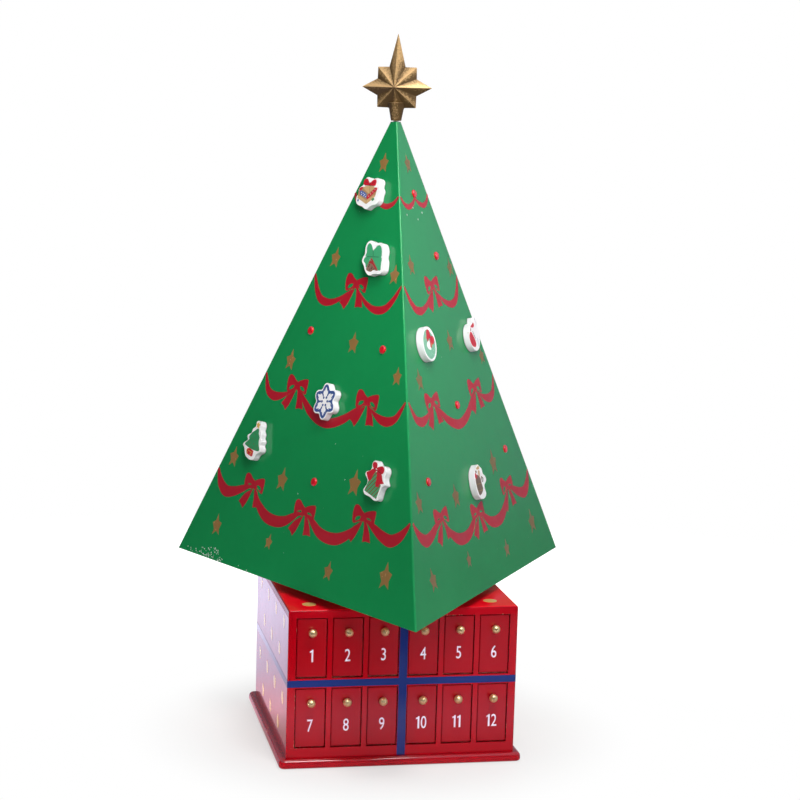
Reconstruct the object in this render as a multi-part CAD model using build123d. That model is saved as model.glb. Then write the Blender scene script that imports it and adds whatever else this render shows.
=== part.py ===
from build123d import *
import os
from math import atan, cos, degrees, radians, sin, sqrt

# Wooden advent calendar: a square drawer cabinet with a three-sided tree turning on top.
# The origin is the centre of the plinth's underside, +Z is up and the front faces -Y.

# Cabinet boards
CABINET_WIDTH = 230.0
CABINET_DEPTH = 230.0
SIDE_T = 8.0
TOP_T = 8.0
SHELF_T = 10.0
FLOOR_T = 10.0
DIVIDER_T = 5.0
CENTRE_POST_T = 9.0
STOP_T = 6.0
CORNER_ROUND = 1.2
TOP_ROUND = 2.0

# Plinth and the screws that hold it to the cabinet floor
PLINTH_T = 9.0
PLINTH_OVERHANG = 7.0
PLINTH_ROUND = 4.5
PLINTH_UNDER_ROUND = 2.5
PLINTH_CORNER_ROUND = 6.0
PLINTH_SCREW_INSET = 30.0
PLINTH_SCREW_D = 4.0
PLINTH_SCREW_HEAD_D = 8.0
PLINTH_SCREW_BITE = 5.0
SCREW_GAP = 0.1

# Drawers, two rows of six at the front and again at the back
COLUMNS_PER_HALF = 3
OPENING_HEIGHT = 60.5
DRAWER_SIDE_GAP = 0.6
DRAWER_TOP_GAP = 0.8
DRAWER_BOTTOM_GAP = 0.2
DRAWER_RECESS = 0.8
DRAWER_STOP_GAP = 0.3
DRAWER_FRONT_T = 6.0
DRAWER_FRONT_ROUND = 0.8
DRAWER_FRONT_LIFT = 0.8
DRAWER_BOARD_T = 3.0
DRAWER_SIDE_DROP = 6.0

# Turned brass knob, on a stem pressed into the drawer front
KNOB_DROP = 13.9
KNOB_BALL_D = 8.4
KNOB_PROJECTION = 10.0
KNOB_COLLAR_D = 5.6
KNOB_COLLAR_T = 1.0
KNOB_NECK_D = 4.0
KNOB_STEM_D = 3.0
KNOB_STEM_LENGTH = 4.5
STEM_GAP = 0.05

# Ball-bearing turntable between the cabinet and the tree
PLATE_SIDE = 100.0
PLATE_T = 1.5
PLATE_BORE_D = 36.0
PLATE_CORNER_ROUND = 6.0
RACE_RADIUS = 34.0
RACE_RING_T = 1.5
RACE_END_GAP = 0.4
BALL_D = 5.4
BALL_GAP = 0.3
BALL_COUNT = 16
PLATE_SCREW_INSET = 8.0
PLATE_SCREW_D = 3.0
PLATE_SCREW_HEAD_D = 5.6
PLATE_SCREW_HEAD_T = 1.3
PLATE_SCREW_TIP_COVER = 2.0

# Tree: a three-sided pyramid of mitred panels, cut off at the tip
TREE_SIDE = 416.0
TREE_TOP_SIDE = 12.0
TREE_HEIGHT = 462.0
TREE_PANEL_T = 6.0
TREE_ARRIS_ROUND = 1.5
TREE_REST_TURN = -3.6
TREE_BASE_BOARD_T = 9.0
TIP_PLUG_LENGTH = 40.0
TIP_PLUG_TOP_INRADIUS = 3.0

# Domed steel studs in the tree's faces
STUD_HEAD_D = 8.5
STUD_HEAD_T = 2.0
STUD_DOME_ROUND = 1.5
STUD_SHANK_D = 3.0
STUD_SHANK_LENGTH = 4.8
STUD_HOLE_GAP = 0.05

# Where the studs stand on each face: share of the half width there, share of the slant height
STUD_PLACES = {
    "tip": (0.0, 0.846),
    "upper": (0.402, 0.71),
    "middle_left": (-0.578, 0.537),
    "middle_right": (0.648, 0.5255),
    "centre": (0.0155, 0.392),
    "lower_left": (-0.711, 0.264),
    "lower_right": (0.711, 0.263),
    "low": (0.031, 0.2265),
}

# Ornaments: cut to an outline on a grid of this size, with a magnet in a socket at the back
ORNAMENT_SIZE = 31.0
ORNAMENT_T = 7.0
ORNAMENT_SEAT_GAP = 0.2
SOCKET_GAP = 0.4
MAGNET_T = 2.0
MAGNET_EDGE_GAP = 0.05

# Star on its pin
STAR_TIP_HEIGHT = 53.7
STAR_SIDE_REACH = 36.4
STAR_DIAGONAL_REACH = 28.4
STAR_NOTCH_REACH = 22.0
STAR_HALF_T = 11.0
STAR_NECK_LENGTH = 33.0
STAR_NECK_D = 10.4
STAR_NECK_TOP_D = 17.0
STAR_NECK_TOP_DROP = 15.0
STAR_REST_TURN = -26.0
PIN_D = 3.0
PIN_IN_TREE = 30.0
PIN_IN_STAR = 20.0
PIN_GAP = 0.05
PIN_END_GAP = 0.5
COLLAR_D = 5.4
COLLAR_T = 1.0
COLLAR_GAP = 0.1

# Levels and places that follow from the sizes above
FLOOR_Z = PLINTH_T + FLOOR_T
SHELF_Z = FLOOR_Z + OPENING_HEIGHT
UPPER_ROW_Z = SHELF_Z + SHELF_T
TOP_Z = UPPER_ROW_Z + OPENING_HEIGHT
CABINET_TOP_Z = TOP_Z + TOP_T
RACE_GAP = BALL_D + 2 * BALL_GAP
LOWER_PLATE_TOP_Z = CABINET_TOP_Z + PLATE_T
UPPER_PLATE_Z = LOWER_PLATE_TOP_Z + RACE_GAP
TREE_Z = UPPER_PLATE_Z + PLATE_T
TREE_TOP_Z = TREE_Z + TREE_HEIGHT
STAR_NECK_Z = TREE_TOP_Z + COLLAR_T + COLLAR_GAP
STAR_CENTRE_Z = STAR_NECK_Z + STAR_NECK_LENGTH

DIVIDERS_PER_HALF = COLUMNS_PER_HALF - 1
OPENING_WIDTH = (
    CABINET_WIDTH - 2 * SIDE_T - CENTRE_POST_T - 2 * DIVIDERS_PER_HALF * DIVIDER_T
) / (2 * COLUMNS_PER_HALF)
COLUMN_PITCH = OPENING_WIDTH + DIVIDER_T
BAY_LENGTH = CABINET_DEPTH / 2 - STOP_T / 2
ROW_FLOORS = (UPPER_ROW_Z, FLOOR_Z)
FRONT_AND_BACK = (-1, 1)

TREE_INRADIUS = TREE_SIDE / (2 * sqrt(3))
TREE_TOP_INRADIUS = TREE_TOP_SIDE / (2 * sqrt(3))
TREE_SLOPE = (TREE_INRADIUS - TREE_TOP_INRADIUS) / TREE_HEIGHT
TREE_TILT = atan(TREE_SLOPE)
TREE_SLANT = TREE_HEIGHT / cos(TREE_TILT)
PANEL_INSET = TREE_PANEL_T / cos(TREE_TILT)
CAVITY_APEX_Z = TREE_Z + (TREE_INRADIUS - PANEL_INSET) / TREE_SLOPE
FACE_TURNS = {
    "left": TREE_REST_TURN - 60,
    "right": TREE_REST_TURN + 60,
    "back": TREE_REST_TURN + 180,
}


def box(x, y, z):
    """Block between three pairs of limits."""
    size = [high - low for low, high in (x, y, z)]
    centre = [(high + low) / 2 for low, high in (x, y, z)]
    return Pos(*centre) * Box(*size)


def rod(radius, low, high):
    """Upright round bar between two heights."""
    return Pos(0, 0, (low + high) / 2) * Cylinder(radius, high - low)


def ring(inner, outer, low, high):
    """Upright ring between two heights."""
    return rod(outer, low, high) - rod(inner, low, high)


def square_places(reach):
    """The four corners of a centred square."""
    return [Pos(x, y) for x in (-reach, reach) for y in (-reach, reach)]


def closed_solid(loops):
    """Flat-faced solid from the corner loops of its faces."""
    return Solid(Shell([Face(Wire.make_polygon(loop)) for loop in loops]))


# Cabinet
def plinth_screw_places():
    """Where the plinth's screws stand."""
    return square_places(CABINET_WIDTH / 2 - PLINTH_SCREW_INSET)


def plinth_screw_shape(gap):
    """Countersunk screw, up from the underside, or the hole for it when it has a gap."""
    shank = PLINTH_SCREW_D / 2 + gap
    head = PLINTH_SCREW_HEAD_D / 2 + gap
    cone_height = head - shank
    tip = PLINTH_T + PLINTH_SCREW_BITE + gap
    cone = Pos(0, 0, cone_height / 2) * Cone(head, shank, cone_height)
    return cone + rod(shank, 0, tip)


def plinth():
    """Rounded board under the cabinet, with countersunk holes."""
    half_x = CABINET_WIDTH / 2 + PLINTH_OVERHANG
    half_y = CABINET_DEPTH / 2 + PLINTH_OVERHANG
    board = box((-half_x, half_x), (-half_y, half_y), (0, PLINTH_T))
    board = fillet(board.edges().filter_by(Axis.Z), PLINTH_CORNER_ROUND)
    board = fillet(board.faces().sort_by(Axis.Z)[-1].edges(), PLINTH_ROUND)
    board = fillet(board.faces().sort_by(Axis.Z)[0].edges(), PLINTH_UNDER_ROUND)
    for place in plinth_screw_places():
        board -= place * plinth_screw_shape(SCREW_GAP)
    return board


def plinth_screws():
    """Four countersunk screws."""
    return [place * plinth_screw_shape(0) for place in plinth_screw_places()]


def cabinet_floor():
    """Bottom board of the cabinet, with pilot holes for the plinth's screws."""
    half_x, half_y = CABINET_WIDTH / 2, CABINET_DEPTH / 2
    board = box((-half_x, half_x), (-half_y, half_y), (PLINTH_T, FLOOR_Z))
    board = fillet(board.edges().filter_by(Axis.Z), CORNER_ROUND)
    for place in plinth_screw_places():
        board -= place * plinth_screw_shape(SCREW_GAP)
    return board


def cabinet_side(hand):
    """Side board between the floor and the top."""
    inner = hand * (CABINET_WIDTH / 2 - SIDE_T)
    outer = hand * CABINET_WIDTH / 2
    half_y = CABINET_DEPTH / 2
    board = box(sorted((inner, outer)), (-half_y, half_y), (FLOOR_Z, TOP_Z))
    upright = board.edges().filter_by(Axis.Z).sort_by(Axis.X)
    outer_edges = upright[:2] if hand < 0 else upright[-2:]
    return fillet(outer_edges, CORNER_ROUND)


def middle_shelf():
    """Board between the two rows of drawers."""
    half_x = CABINET_WIDTH / 2 - SIDE_T
    half_y = CABINET_DEPTH / 2
    return box((-half_x, half_x), (-half_y, half_y), (SHELF_Z, UPPER_ROW_Z))


def cabinet_top():
    """Top board, with pilot holes for the turntable's screws."""
    half_x, half_y = CABINET_WIDTH / 2, CABINET_DEPTH / 2
    board = box((-half_x, half_x), (-half_y, half_y), (TOP_Z, CABINET_TOP_Z))
    board = fillet(board.edges().filter_by(Axis.Z), CORNER_ROUND)
    board = fillet(board.faces().sort_by(Axis.Z)[-1].edges(), TOP_ROUND)
    pilot = rod(PLATE_SCREW_D / 2 + SCREW_GAP, TOP_Z + PLATE_SCREW_TIP_COVER / 2, CABINET_TOP_Z)
    for place in plate_screw_places():
        board -= place * pilot
    return board


def drawer_stops():
    """Boards across the middle of the cabinet, one for each row."""
    half_x = CABINET_WIDTH / 2 - SIDE_T
    return [
        box((-half_x, half_x), (-STOP_T / 2, STOP_T / 2), (low, low + OPENING_HEIGHT))
        for low in ROW_FLOORS
    ]


def bay_span(side):
    """Limits along Y of the bays at the front or at the back."""
    return sorted((side * STOP_T / 2, side * CABINET_DEPTH / 2))


def uprights(centre, thickness):
    """One upright in each row, at the front and at the back."""
    span = (centre - thickness / 2, centre + thickness / 2)
    return [
        box(span, bay_span(side), (low, low + OPENING_HEIGHT))
        for low in ROW_FLOORS
        for side in FRONT_AND_BACK
    ]


def drawer_dividers():
    """Thin boards between neighbouring drawers."""
    first = CENTRE_POST_T / 2 + OPENING_WIDTH + DIVIDER_T / 2
    boards = []
    for hand in (-1, 1):
        for step in range(DIVIDERS_PER_HALF):
            boards += uprights(hand * (first + step * COLUMN_PITCH), DIVIDER_T)
    return boards


def centre_posts():
    """Wider boards down the middle of each row."""
    return uprights(0, CENTRE_POST_T)


# Drawers
def column_centres():
    """Centres of the openings along X, from left to right."""
    first = CENTRE_POST_T / 2 + OPENING_WIDTH / 2
    right = [first + step * COLUMN_PITCH for step in range(COLUMNS_PER_HALF)]
    return [-x for x in reversed(right)] + right


def knob_shape():
    """Turned knob on the Z axis, with its seat at height 0 and its stem below."""
    ball_radius = KNOB_BALL_D / 2
    ball_z = KNOB_PROJECTION - ball_radius
    knob = rod(KNOB_COLLAR_D / 2, 0, KNOB_COLLAR_T) + rod(KNOB_NECK_D / 2, 0, ball_z)
    knob += Pos(0, 0, ball_z) * Sphere(ball_radius)
    return knob + rod(KNOB_STEM_D / 2, -KNOB_STEM_LENGTH, 0)


def drawer():
    """Front drawer standing on height 0 with the cabinet's front face at depth 0."""
    half = OPENING_WIDTH / 2 - DRAWER_SIDE_GAP
    low = DRAWER_BOTTOM_GAP
    high = OPENING_HEIGHT - DRAWER_TOP_GAP
    face = DRAWER_RECESS
    inner = face + DRAWER_FRONT_T
    end = BAY_LENGTH - DRAWER_STOP_GAP
    side_top = high - DRAWER_SIDE_DROP
    floor_top = low + DRAWER_BOARD_T

    front = box((-half, half), (face, inner), (low + DRAWER_FRONT_LIFT, high))
    front = fillet(front.faces().sort_by(Axis.Y)[0].edges(), DRAWER_FRONT_ROUND)
    knob_z = OPENING_HEIGHT - KNOB_DROP
    seat = Plane(origin=(0, face, knob_z), x_dir=(1, 0, 0), z_dir=(0, -1, 0))
    front -= seat * rod(KNOB_STEM_D / 2 + STEM_GAP, -KNOB_STEM_LENGTH - STEM_GAP, 0)

    floor = box((-half, half), (inner, end), (low, floor_top))
    left = box((-half, -half + DRAWER_BOARD_T), (inner, end), (floor_top, side_top))
    right = box((half - DRAWER_BOARD_T, half), (inner, end), (floor_top, side_top))
    back = box(
        (-half + DRAWER_BOARD_T, half - DRAWER_BOARD_T),
        (end - DRAWER_BOARD_T, end),
        (floor_top, side_top),
    )
    return [front, left, right, back, floor, seat * knob_shape()]


def drawers():
    """All drawers by node name, numbered from the front's top left, then from behind."""
    pieces = drawer()
    nodes = {}
    number = 1
    for turn in (0, 180):
        for low in ROW_FLOORS:
            for x in column_centres():
                place = Rot(0, 0, turn) * Pos(x, -CABINET_DEPTH / 2, low)
                nodes[f"drawer_{number:02d}"] = [place * piece for piece in pieces]
                number += 1
    return nodes


# Turntable
def plate_screw_places():
    """Where the screws stand in both plates."""
    return square_places(PLATE_SIDE / 2 - PLATE_SCREW_INSET)


def plate(low):
    """Square plate with a round bore and screw holes."""
    half = PLATE_SIDE / 2
    sheet = box((-half, half), (-half, half), (low, low + PLATE_T))
    sheet = fillet(sheet.edges().filter_by(Axis.Z), PLATE_CORNER_ROUND)
    sheet -= rod(PLATE_BORE_D / 2, low, low + PLATE_T)
    for place in plate_screw_places():
        sheet -= place * rod(PLATE_SCREW_D / 2 + SCREW_GAP, low, low + PLATE_T)
    return sheet


def turntable_lower_plate():
    """Lower plate with the inner ring of the ball race."""
    outer = RACE_RADIUS - BALL_D / 2 - BALL_GAP
    wall = ring(outer - RACE_RING_T, outer, LOWER_PLATE_TOP_Z, UPPER_PLATE_Z - RACE_END_GAP)
    return plate(CABINET_TOP_Z) + wall


def turntable_upper_plate():
    """Upper plate with the outer ring of the ball race, square with the tree's rest turn."""
    inner = RACE_RADIUS + BALL_D / 2 + BALL_GAP
    wall = ring(inner, inner + RACE_RING_T, LOWER_PLATE_TOP_Z + RACE_END_GAP, UPPER_PLATE_Z)
    return Rot(0, 0, TREE_REST_TURN) * (plate(UPPER_PLATE_Z) + wall)


def turntable_balls():
    """Bearing balls round the race."""
    ball = Pos(RACE_RADIUS, 0, LOWER_PLATE_TOP_Z + RACE_GAP / 2) * Sphere(BALL_D / 2)
    return [Rot(0, 0, 360 * step / BALL_COUNT) * ball for step in range(BALL_COUNT)]


def turntable_lower_screws():
    """Screws down through the lower plate into the cabinet top."""
    head_z = LOWER_PLATE_TOP_Z
    screw = rod(PLATE_SCREW_HEAD_D / 2, head_z, head_z + PLATE_SCREW_HEAD_T)
    screw += rod(PLATE_SCREW_D / 2, TOP_Z + PLATE_SCREW_TIP_COVER, head_z)
    return [place * screw for place in plate_screw_places()]


def turntable_upper_screws():
    """Screws up through the upper plate into the tree's base board."""
    head_z = UPPER_PLATE_Z
    tip_z = TREE_Z + TREE_BASE_BOARD_T - PLATE_SCREW_TIP_COVER
    screw = rod(PLATE_SCREW_HEAD_D / 2, head_z - PLATE_SCREW_HEAD_T, head_z)
    screw += rod(PLATE_SCREW_D / 2, head_z, tip_z)
    turn = Rot(0, 0, TREE_REST_TURN)
    return [turn * place * screw for place in plate_screw_places()]


# Tree
def triangle(inradius, z):
    """Corners of the tree's level section: front, right and left."""
    reach = 2 * inradius
    turns = [radians(TREE_REST_TURN + 120 * step) for step in range(3)]
    return [(reach * sin(turn), -reach * cos(turn), z) for turn in turns]


def frustum(low_inradius, low_z, high_inradius, high_z):
    """Three-sided block that narrows upwards."""
    low, high = triangle(low_inradius, low_z), triangle(high_inradius, high_z)
    loops = [low[::-1], high]
    for step in range(3):
        after = (step + 1) % 3
        loops.append([low[step], low[after], high[after], high[step]])
    return closed_solid(loops)


def cavity_inradius(z):
    """Inradius of the hollow inside the panels at a height."""
    return (CAVITY_APEX_Z - z) * TREE_SLOPE


def tree_cavity():
    """The hollow inside the panels, up to its apex."""
    low = triangle(cavity_inradius(TREE_Z), TREE_Z)
    apex = (0, 0, CAVITY_APEX_Z)
    sides = [[low[step], low[(step + 1) % 3], apex] for step in range(3)]
    return closed_solid([low[::-1]] + sides)


def pin_hole():
    """Hole down the tip for the star's pin."""
    low = TREE_TOP_Z - PIN_IN_TREE - PIN_END_GAP
    return rod(PIN_D / 2 + PIN_GAP, low, TREE_TOP_Z)


def face_plane(face):
    """Plane of a tree face: X along its bottom edge, Y up the slope, Z outwards."""
    turn = radians(FACE_TURNS[face])
    out = Vector(sin(turn), -cos(turn), 0)
    across = Vector(cos(turn), sin(turn), 0)
    normal = out * cos(TREE_TILT) + Vector(0, 0, sin(TREE_TILT))
    middle = out * TREE_INRADIUS + Vector(0, 0, TREE_Z)
    return Plane(origin=middle, x_dir=across, z_dir=normal)


def stud_place(stud):
    """Where a stud stands on its face, across and up the slope."""
    across, up = STUD_PLACES[stud]
    half_width = (TREE_SIDE + (TREE_TOP_SIDE - TREE_SIDE) * up) / 2
    return across * half_width, up * TREE_SLANT


def tree_panels():
    """Three panels, mitred to each other, with blind holes for the studs."""
    body = frustum(TREE_INRADIUS, TREE_Z, TREE_TOP_INRADIUS, TREE_TOP_Z)
    arrises = [edge for edge in body.edges() if edge.bounding_box().size.Z > TREE_HEIGHT / 2]
    shell = fillet(arrises, TREE_ARRIS_ROUND) - tree_cavity() - pin_hole()
    reach = TREE_SIDE
    hole = rod(STUD_SHANK_D / 2 + STUD_HOLE_GAP, -STUD_SHANK_LENGTH - STUD_HOLE_GAP, 0)
    panels = {}
    for face, turn in FACE_TURNS.items():
        limits = [radians(turn - 60), radians(turn + 60)]
        corners = [(0, 0)] + [(reach * sin(limit), -reach * cos(limit)) for limit in limits]
        wedge = extrude(Pos(0, 0, TREE_Z) * make_face(Polyline(*corners, close=True)), TREE_HEIGHT)
        panel = shell & wedge
        for stud in STUD_PLACES:
            panel -= face_plane(face) * Pos(*stud_place(stud)) * hole
        panels[f"tree_panel_{face}"] = panel
    return panels


def tree_base_board():
    """Board inside the foot of the panels, with pilot holes for the turntable's screws."""
    top_z = TREE_Z + TREE_BASE_BOARD_T
    board = frustum(cavity_inradius(TREE_Z), TREE_Z, cavity_inradius(top_z), top_z)
    pilot = rod(PLATE_SCREW_D / 2 + SCREW_GAP, TREE_Z, top_z - PLATE_SCREW_TIP_COVER / 2)
    turn = Rot(0, 0, TREE_REST_TURN)
    for place in plate_screw_places():
        board -= turn * place * pilot
    return board


def tree_tip_plug():
    """Block glued inside the tip, drilled for the star's pin."""
    high_z = CAVITY_APEX_Z - TIP_PLUG_TOP_INRADIUS / TREE_SLOPE
    low_z = high_z - TIP_PLUG_LENGTH
    return frustum(cavity_inradius(low_z), low_z, cavity_inradius(high_z), high_z) - pin_hole()


def studs(face):
    """Domed studs of one face."""
    head = rod(STUD_HEAD_D / 2, 0, STUD_HEAD_T)
    head = fillet(head.edges().sort_by(Axis.Z)[-1], STUD_DOME_ROUND)
    stud = head + rod(STUD_SHANK_D / 2, -STUD_SHANK_LENGTH, 0)
    return [face_plane(face) * Pos(*stud_place(name)) * stud for name in STUD_PLACES]


# Ornament outlines, drawn about their middle on a grid of one ornament size
def smooth_outline(*points):
    """Face inside a smooth closed line through the points."""
    return make_face(Spline(*points, periodic=True))


def gift_boxes_outline():
    """Open boxes seen from a corner, with a bow on top."""
    return smooth_outline(
        (-0.18, 0.53), (-0.3, 0.46), (-0.36, 0.28), (-0.51, 0.18), (-0.55, 0.09), (-0.51, 0.0),
        (-0.58, -0.1), (-0.6, -0.2), (-0.55, -0.33), (-0.42, -0.4), (-0.2, -0.45), (0.0, -0.53),
        (0.16, -0.46), (0.3, -0.4), (0.48, -0.36), (0.58, -0.23), (0.58, -0.06), (0.6, 0.08),
        (0.5, 0.22), (0.5, 0.37), (0.4, 0.48), (0.23, 0.49), (0.07, 0.46), (-0.06, 0.5),
    )


def holly_outline():
    """Four leaves round a cone."""
    return smooth_outline(
        (-0.37, 0.54), (-0.53, 0.49), (-0.61, 0.34), (-0.58, 0.18), (-0.56, 0.06), (-0.61, -0.06),
        (-0.6, -0.17), (-0.47, -0.28), (-0.35, -0.41), (-0.22, -0.5), (-0.04, -0.55), (0.14, -0.48),
        (0.32, -0.44), (0.5, -0.41), (0.6, -0.29), (0.58, -0.14), (0.52, 0.02), (0.44, 0.13),
        (0.42, 0.26), (0.34, 0.43), (0.21, 0.53), (0.04, 0.54), (-0.14, 0.49), (-0.24, 0.5),
    )


def snowflake_outline():
    """Six rounded points."""
    reaches = (0.6, 0.575, 0.5, 0.455, 0.5, 0.575)
    turns = [radians(10 * step) for step in range(6 * len(reaches))]
    return smooth_outline(
        *[(reaches[i % 6] * sin(turn), reaches[i % 6] * cos(turn)) for i, turn in enumerate(turns)]
    )


def tree_outline():
    """Three tiers, a star above and a tub below."""
    return smooth_outline(
        (0.18, 0.66), (0.06, 0.6), (0.04, 0.46), (-0.1, 0.38), (-0.14, 0.26), (-0.34, 0.15),
        (-0.34, 0.08), (-0.3, 0.02), (-0.47, -0.09), (-0.53, -0.16), (-0.46, -0.24), (-0.38, -0.38),
        (-0.31, -0.51), (-0.18, -0.6), (0.12, -0.66), (0.23, -0.6), (0.28, -0.5), (0.4, -0.43),
        (0.51, -0.38), (0.53, -0.27), (0.46, -0.16), (0.5, -0.03), (0.41, 0.1), (0.42, 0.22),
        (0.34, 0.35), (0.36, 0.5), (0.29, 0.62),
    )


def striped_gift_outline():
    """Square gift with a large bow."""
    return smooth_outline(
        (-0.22, 0.54), (-0.35, 0.51), (-0.4, 0.42), (-0.35, 0.26), (-0.39, 0.16), (-0.53, 0.07),
        (-0.54, -0.01), (-0.4, -0.09), (-0.31, -0.16), (-0.3, -0.3), (-0.34, -0.48), (-0.28, -0.54),
        (0.05, -0.54), (0.39, -0.53), (0.46, -0.47), (0.45, -0.33), (0.43, -0.12), (0.47, -0.02),
        (0.55, 0.06), (0.47, 0.14), (0.39, 0.24), (0.38, 0.4), (0.3, 0.51), (0.18, 0.54),
        (0.05, 0.51), (-0.05, 0.48),
    )


def wreath_outline():
    """Round wreath."""
    return Circle(0.56)


def bauble_outline():
    """Ball with a cap."""
    return Pos(0, -0.1) * Circle(0.47) + Pos(0, 0.4) * RectangleRounded(0.32, 0.4, 0.1)


def mug_outline():
    """Mug with a heaped top and a handle."""
    return smooth_outline(
        (0.11, 0.55), (0.24, 0.44), (0.33, 0.33), (0.33, 0.22), (0.46, 0.1), (0.51, -0.03),
        (0.4, -0.12), (0.25, -0.18), (0.22, -0.3), (0.24, -0.44), (0.1, -0.54), (-0.12, -0.55),
        (-0.34, -0.47), (-0.47, -0.3), (-0.51, -0.06), (-0.47, 0.17), (-0.38, 0.36), (-0.2, 0.5),
        (-0.04, 0.56),
    )


# Each ornament: its outline, face, stud, and its middle and lean on that stud
ORNAMENTS = {
    "gift_boxes": (gift_boxes_outline, "left", "tip", (-4.3, -1.8), 3),
    "holly": (holly_outline, "left", "upper", (3.2, -1.7), -4),
    "snowflake": (snowflake_outline, "left", "centre", (-0.6, 1.8), 8),
    "tree": (tree_outline, "left", "lower_left", (5.1, 7.0), 6),
    "striped_gift": (striped_gift_outline, "left", "lower_right", (-2.6, 0.6), -14),
    "wreath": (wreath_outline, "right", "middle_left", (2.8, -1.5), -16),
    "bauble": (bauble_outline, "right", "middle_right", (4.8, 1.1), -30),
    "mug": (mug_outline, "right", "low", (1.6, -2.2), 5),
}


def ornament(name):
    """Wooden shape with a socket for its stud's head, and the magnet in the socket."""
    outline, face, stud, middle, lean = ORNAMENTS[name]
    front = Pos(*middle) * Rot(0, 0, lean) * scale(outline(), by=ORNAMENT_SIZE)
    body = extrude(Pos(0, 0, ORNAMENT_SEAT_GAP) * front, ORNAMENT_T)
    socket_radius = STUD_HEAD_D / 2 + SOCKET_GAP
    magnet_low = STUD_HEAD_T + ORNAMENT_SEAT_GAP
    magnet_high = magnet_low + MAGNET_T
    body -= rod(socket_radius, ORNAMENT_SEAT_GAP, magnet_high)
    magnet = rod(socket_radius - MAGNET_EDGE_GAP, magnet_low, magnet_high)
    place = face_plane(face) * Pos(*stud_place(stud))
    return [place * body, place * magnet]


# Star
def star_topper():
    """Eight-pointed star with a ridge to every tip, on a turned neck bored for the pin."""
    reaches = {
        0: STAR_TIP_HEIGHT,
        45: STAR_DIAGONAL_REACH,
        90: STAR_SIDE_REACH,
        135: STAR_DIAGONAL_REACH,
        180: STAR_NECK_LENGTH,
        225: STAR_DIAGONAL_REACH,
        270: STAR_SIDE_REACH,
        315: STAR_DIAGONAL_REACH,
    }
    rim = []
    for angle, reach in reaches.items():
        for turn, radius in ((angle, reach), (angle + 22.5, STAR_NOTCH_REACH)):
            rim.append((radius * sin(radians(turn)), 0, radius * cos(radians(turn))))
    loops = []
    for apex in ((0, -STAR_HALF_T, 0), (0, STAR_HALF_T, 0)):
        loops += [[rim[i - 1], rim[i], apex] for i in range(len(rim))]
    star = Pos(0, 0, STAR_CENTRE_Z) * closed_solid(loops)
    neck_high = STAR_CENTRE_Z - STAR_NECK_TOP_DROP
    neck_height = neck_high - STAR_NECK_Z
    neck = Cone(STAR_NECK_D / 2, STAR_NECK_TOP_D / 2, neck_height)
    star += Pos(0, 0, (neck_high + STAR_NECK_Z) / 2) * neck
    star -= rod(PIN_D / 2 + PIN_GAP, STAR_NECK_Z, STAR_NECK_Z + PIN_IN_STAR + PIN_END_GAP)
    return Rot(0, 0, STAR_REST_TURN) * star


def star_pin():
    """Pin with a collar that stands on the tree's tip and carries the star."""
    pin = rod(PIN_D / 2, TREE_TOP_Z - PIN_IN_TREE, STAR_NECK_Z + PIN_IN_STAR)
    return pin + rod(COLLAR_D / 2, TREE_TOP_Z, TREE_TOP_Z + COLLAR_T)


def all_nodes():
    """Every node by name, as a list of separate solids or one solid."""
    nodes = {
        "plinth": plinth(),
        "plinth_screws": plinth_screws(),
        "cabinet_floor": cabinet_floor(),
        "cabinet_left_side": cabinet_side(-1),
        "cabinet_right_side": cabinet_side(1),
        "middle_shelf": middle_shelf(),
        "cabinet_top": cabinet_top(),
        "drawer_stops": drawer_stops(),
        "drawer_dividers": drawer_dividers(),
        "centre_posts": centre_posts(),
        "turntable_lower_plate": turntable_lower_plate(),
        "turntable_lower_screws": turntable_lower_screws(),
        "turntable_balls": turntable_balls(),
        "turntable_upper_plate": turntable_upper_plate(),
        "turntable_upper_screws": turntable_upper_screws(),
        "tree_base_board": tree_base_board(),
        "tree_tip_plug": tree_tip_plug(),
        "star_topper": star_topper(),
        "star_pin": star_pin(),
    }
    nodes.update(tree_panels())
    for face in FACE_TURNS:
        nodes[f"studs_{face}"] = studs(face)
    for name in ORNAMENTS:
        nodes[f"ornament_{name}"] = ornament(name)
    nodes.update(drawers())
    return nodes


os.makedirs("parts", exist_ok=True)
for node, shape in all_nodes().items():
    pieces = shape if isinstance(shape, list) else [shape]
    solids = [solid for piece in pieces for solid in piece.solids()]
    export_step(solids[0] if len(solids) == 1 else Compound(children=solids), f"parts/{node}.step")
print("overall height", round(STAR_CENTRE_Z + STAR_TIP_HEIGHT, 1))
print("tree tilt", round(degrees(TREE_TILT), 2), "slant", round(TREE_SLANT, 1))
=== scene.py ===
"""Looks of the wooden advent calendar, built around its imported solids.

Sizes are in millimetres and colours are linear, unless a name says otherwise.
"""

import logging
from abc import ABC, abstractmethod
from dataclasses import dataclass, field, replace
from enum import Enum
from functools import cache
from math import atan, cos, pi, radians, sin, sqrt

import bmesh
import bpy
from mathutils import Matrix, Vector


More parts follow.
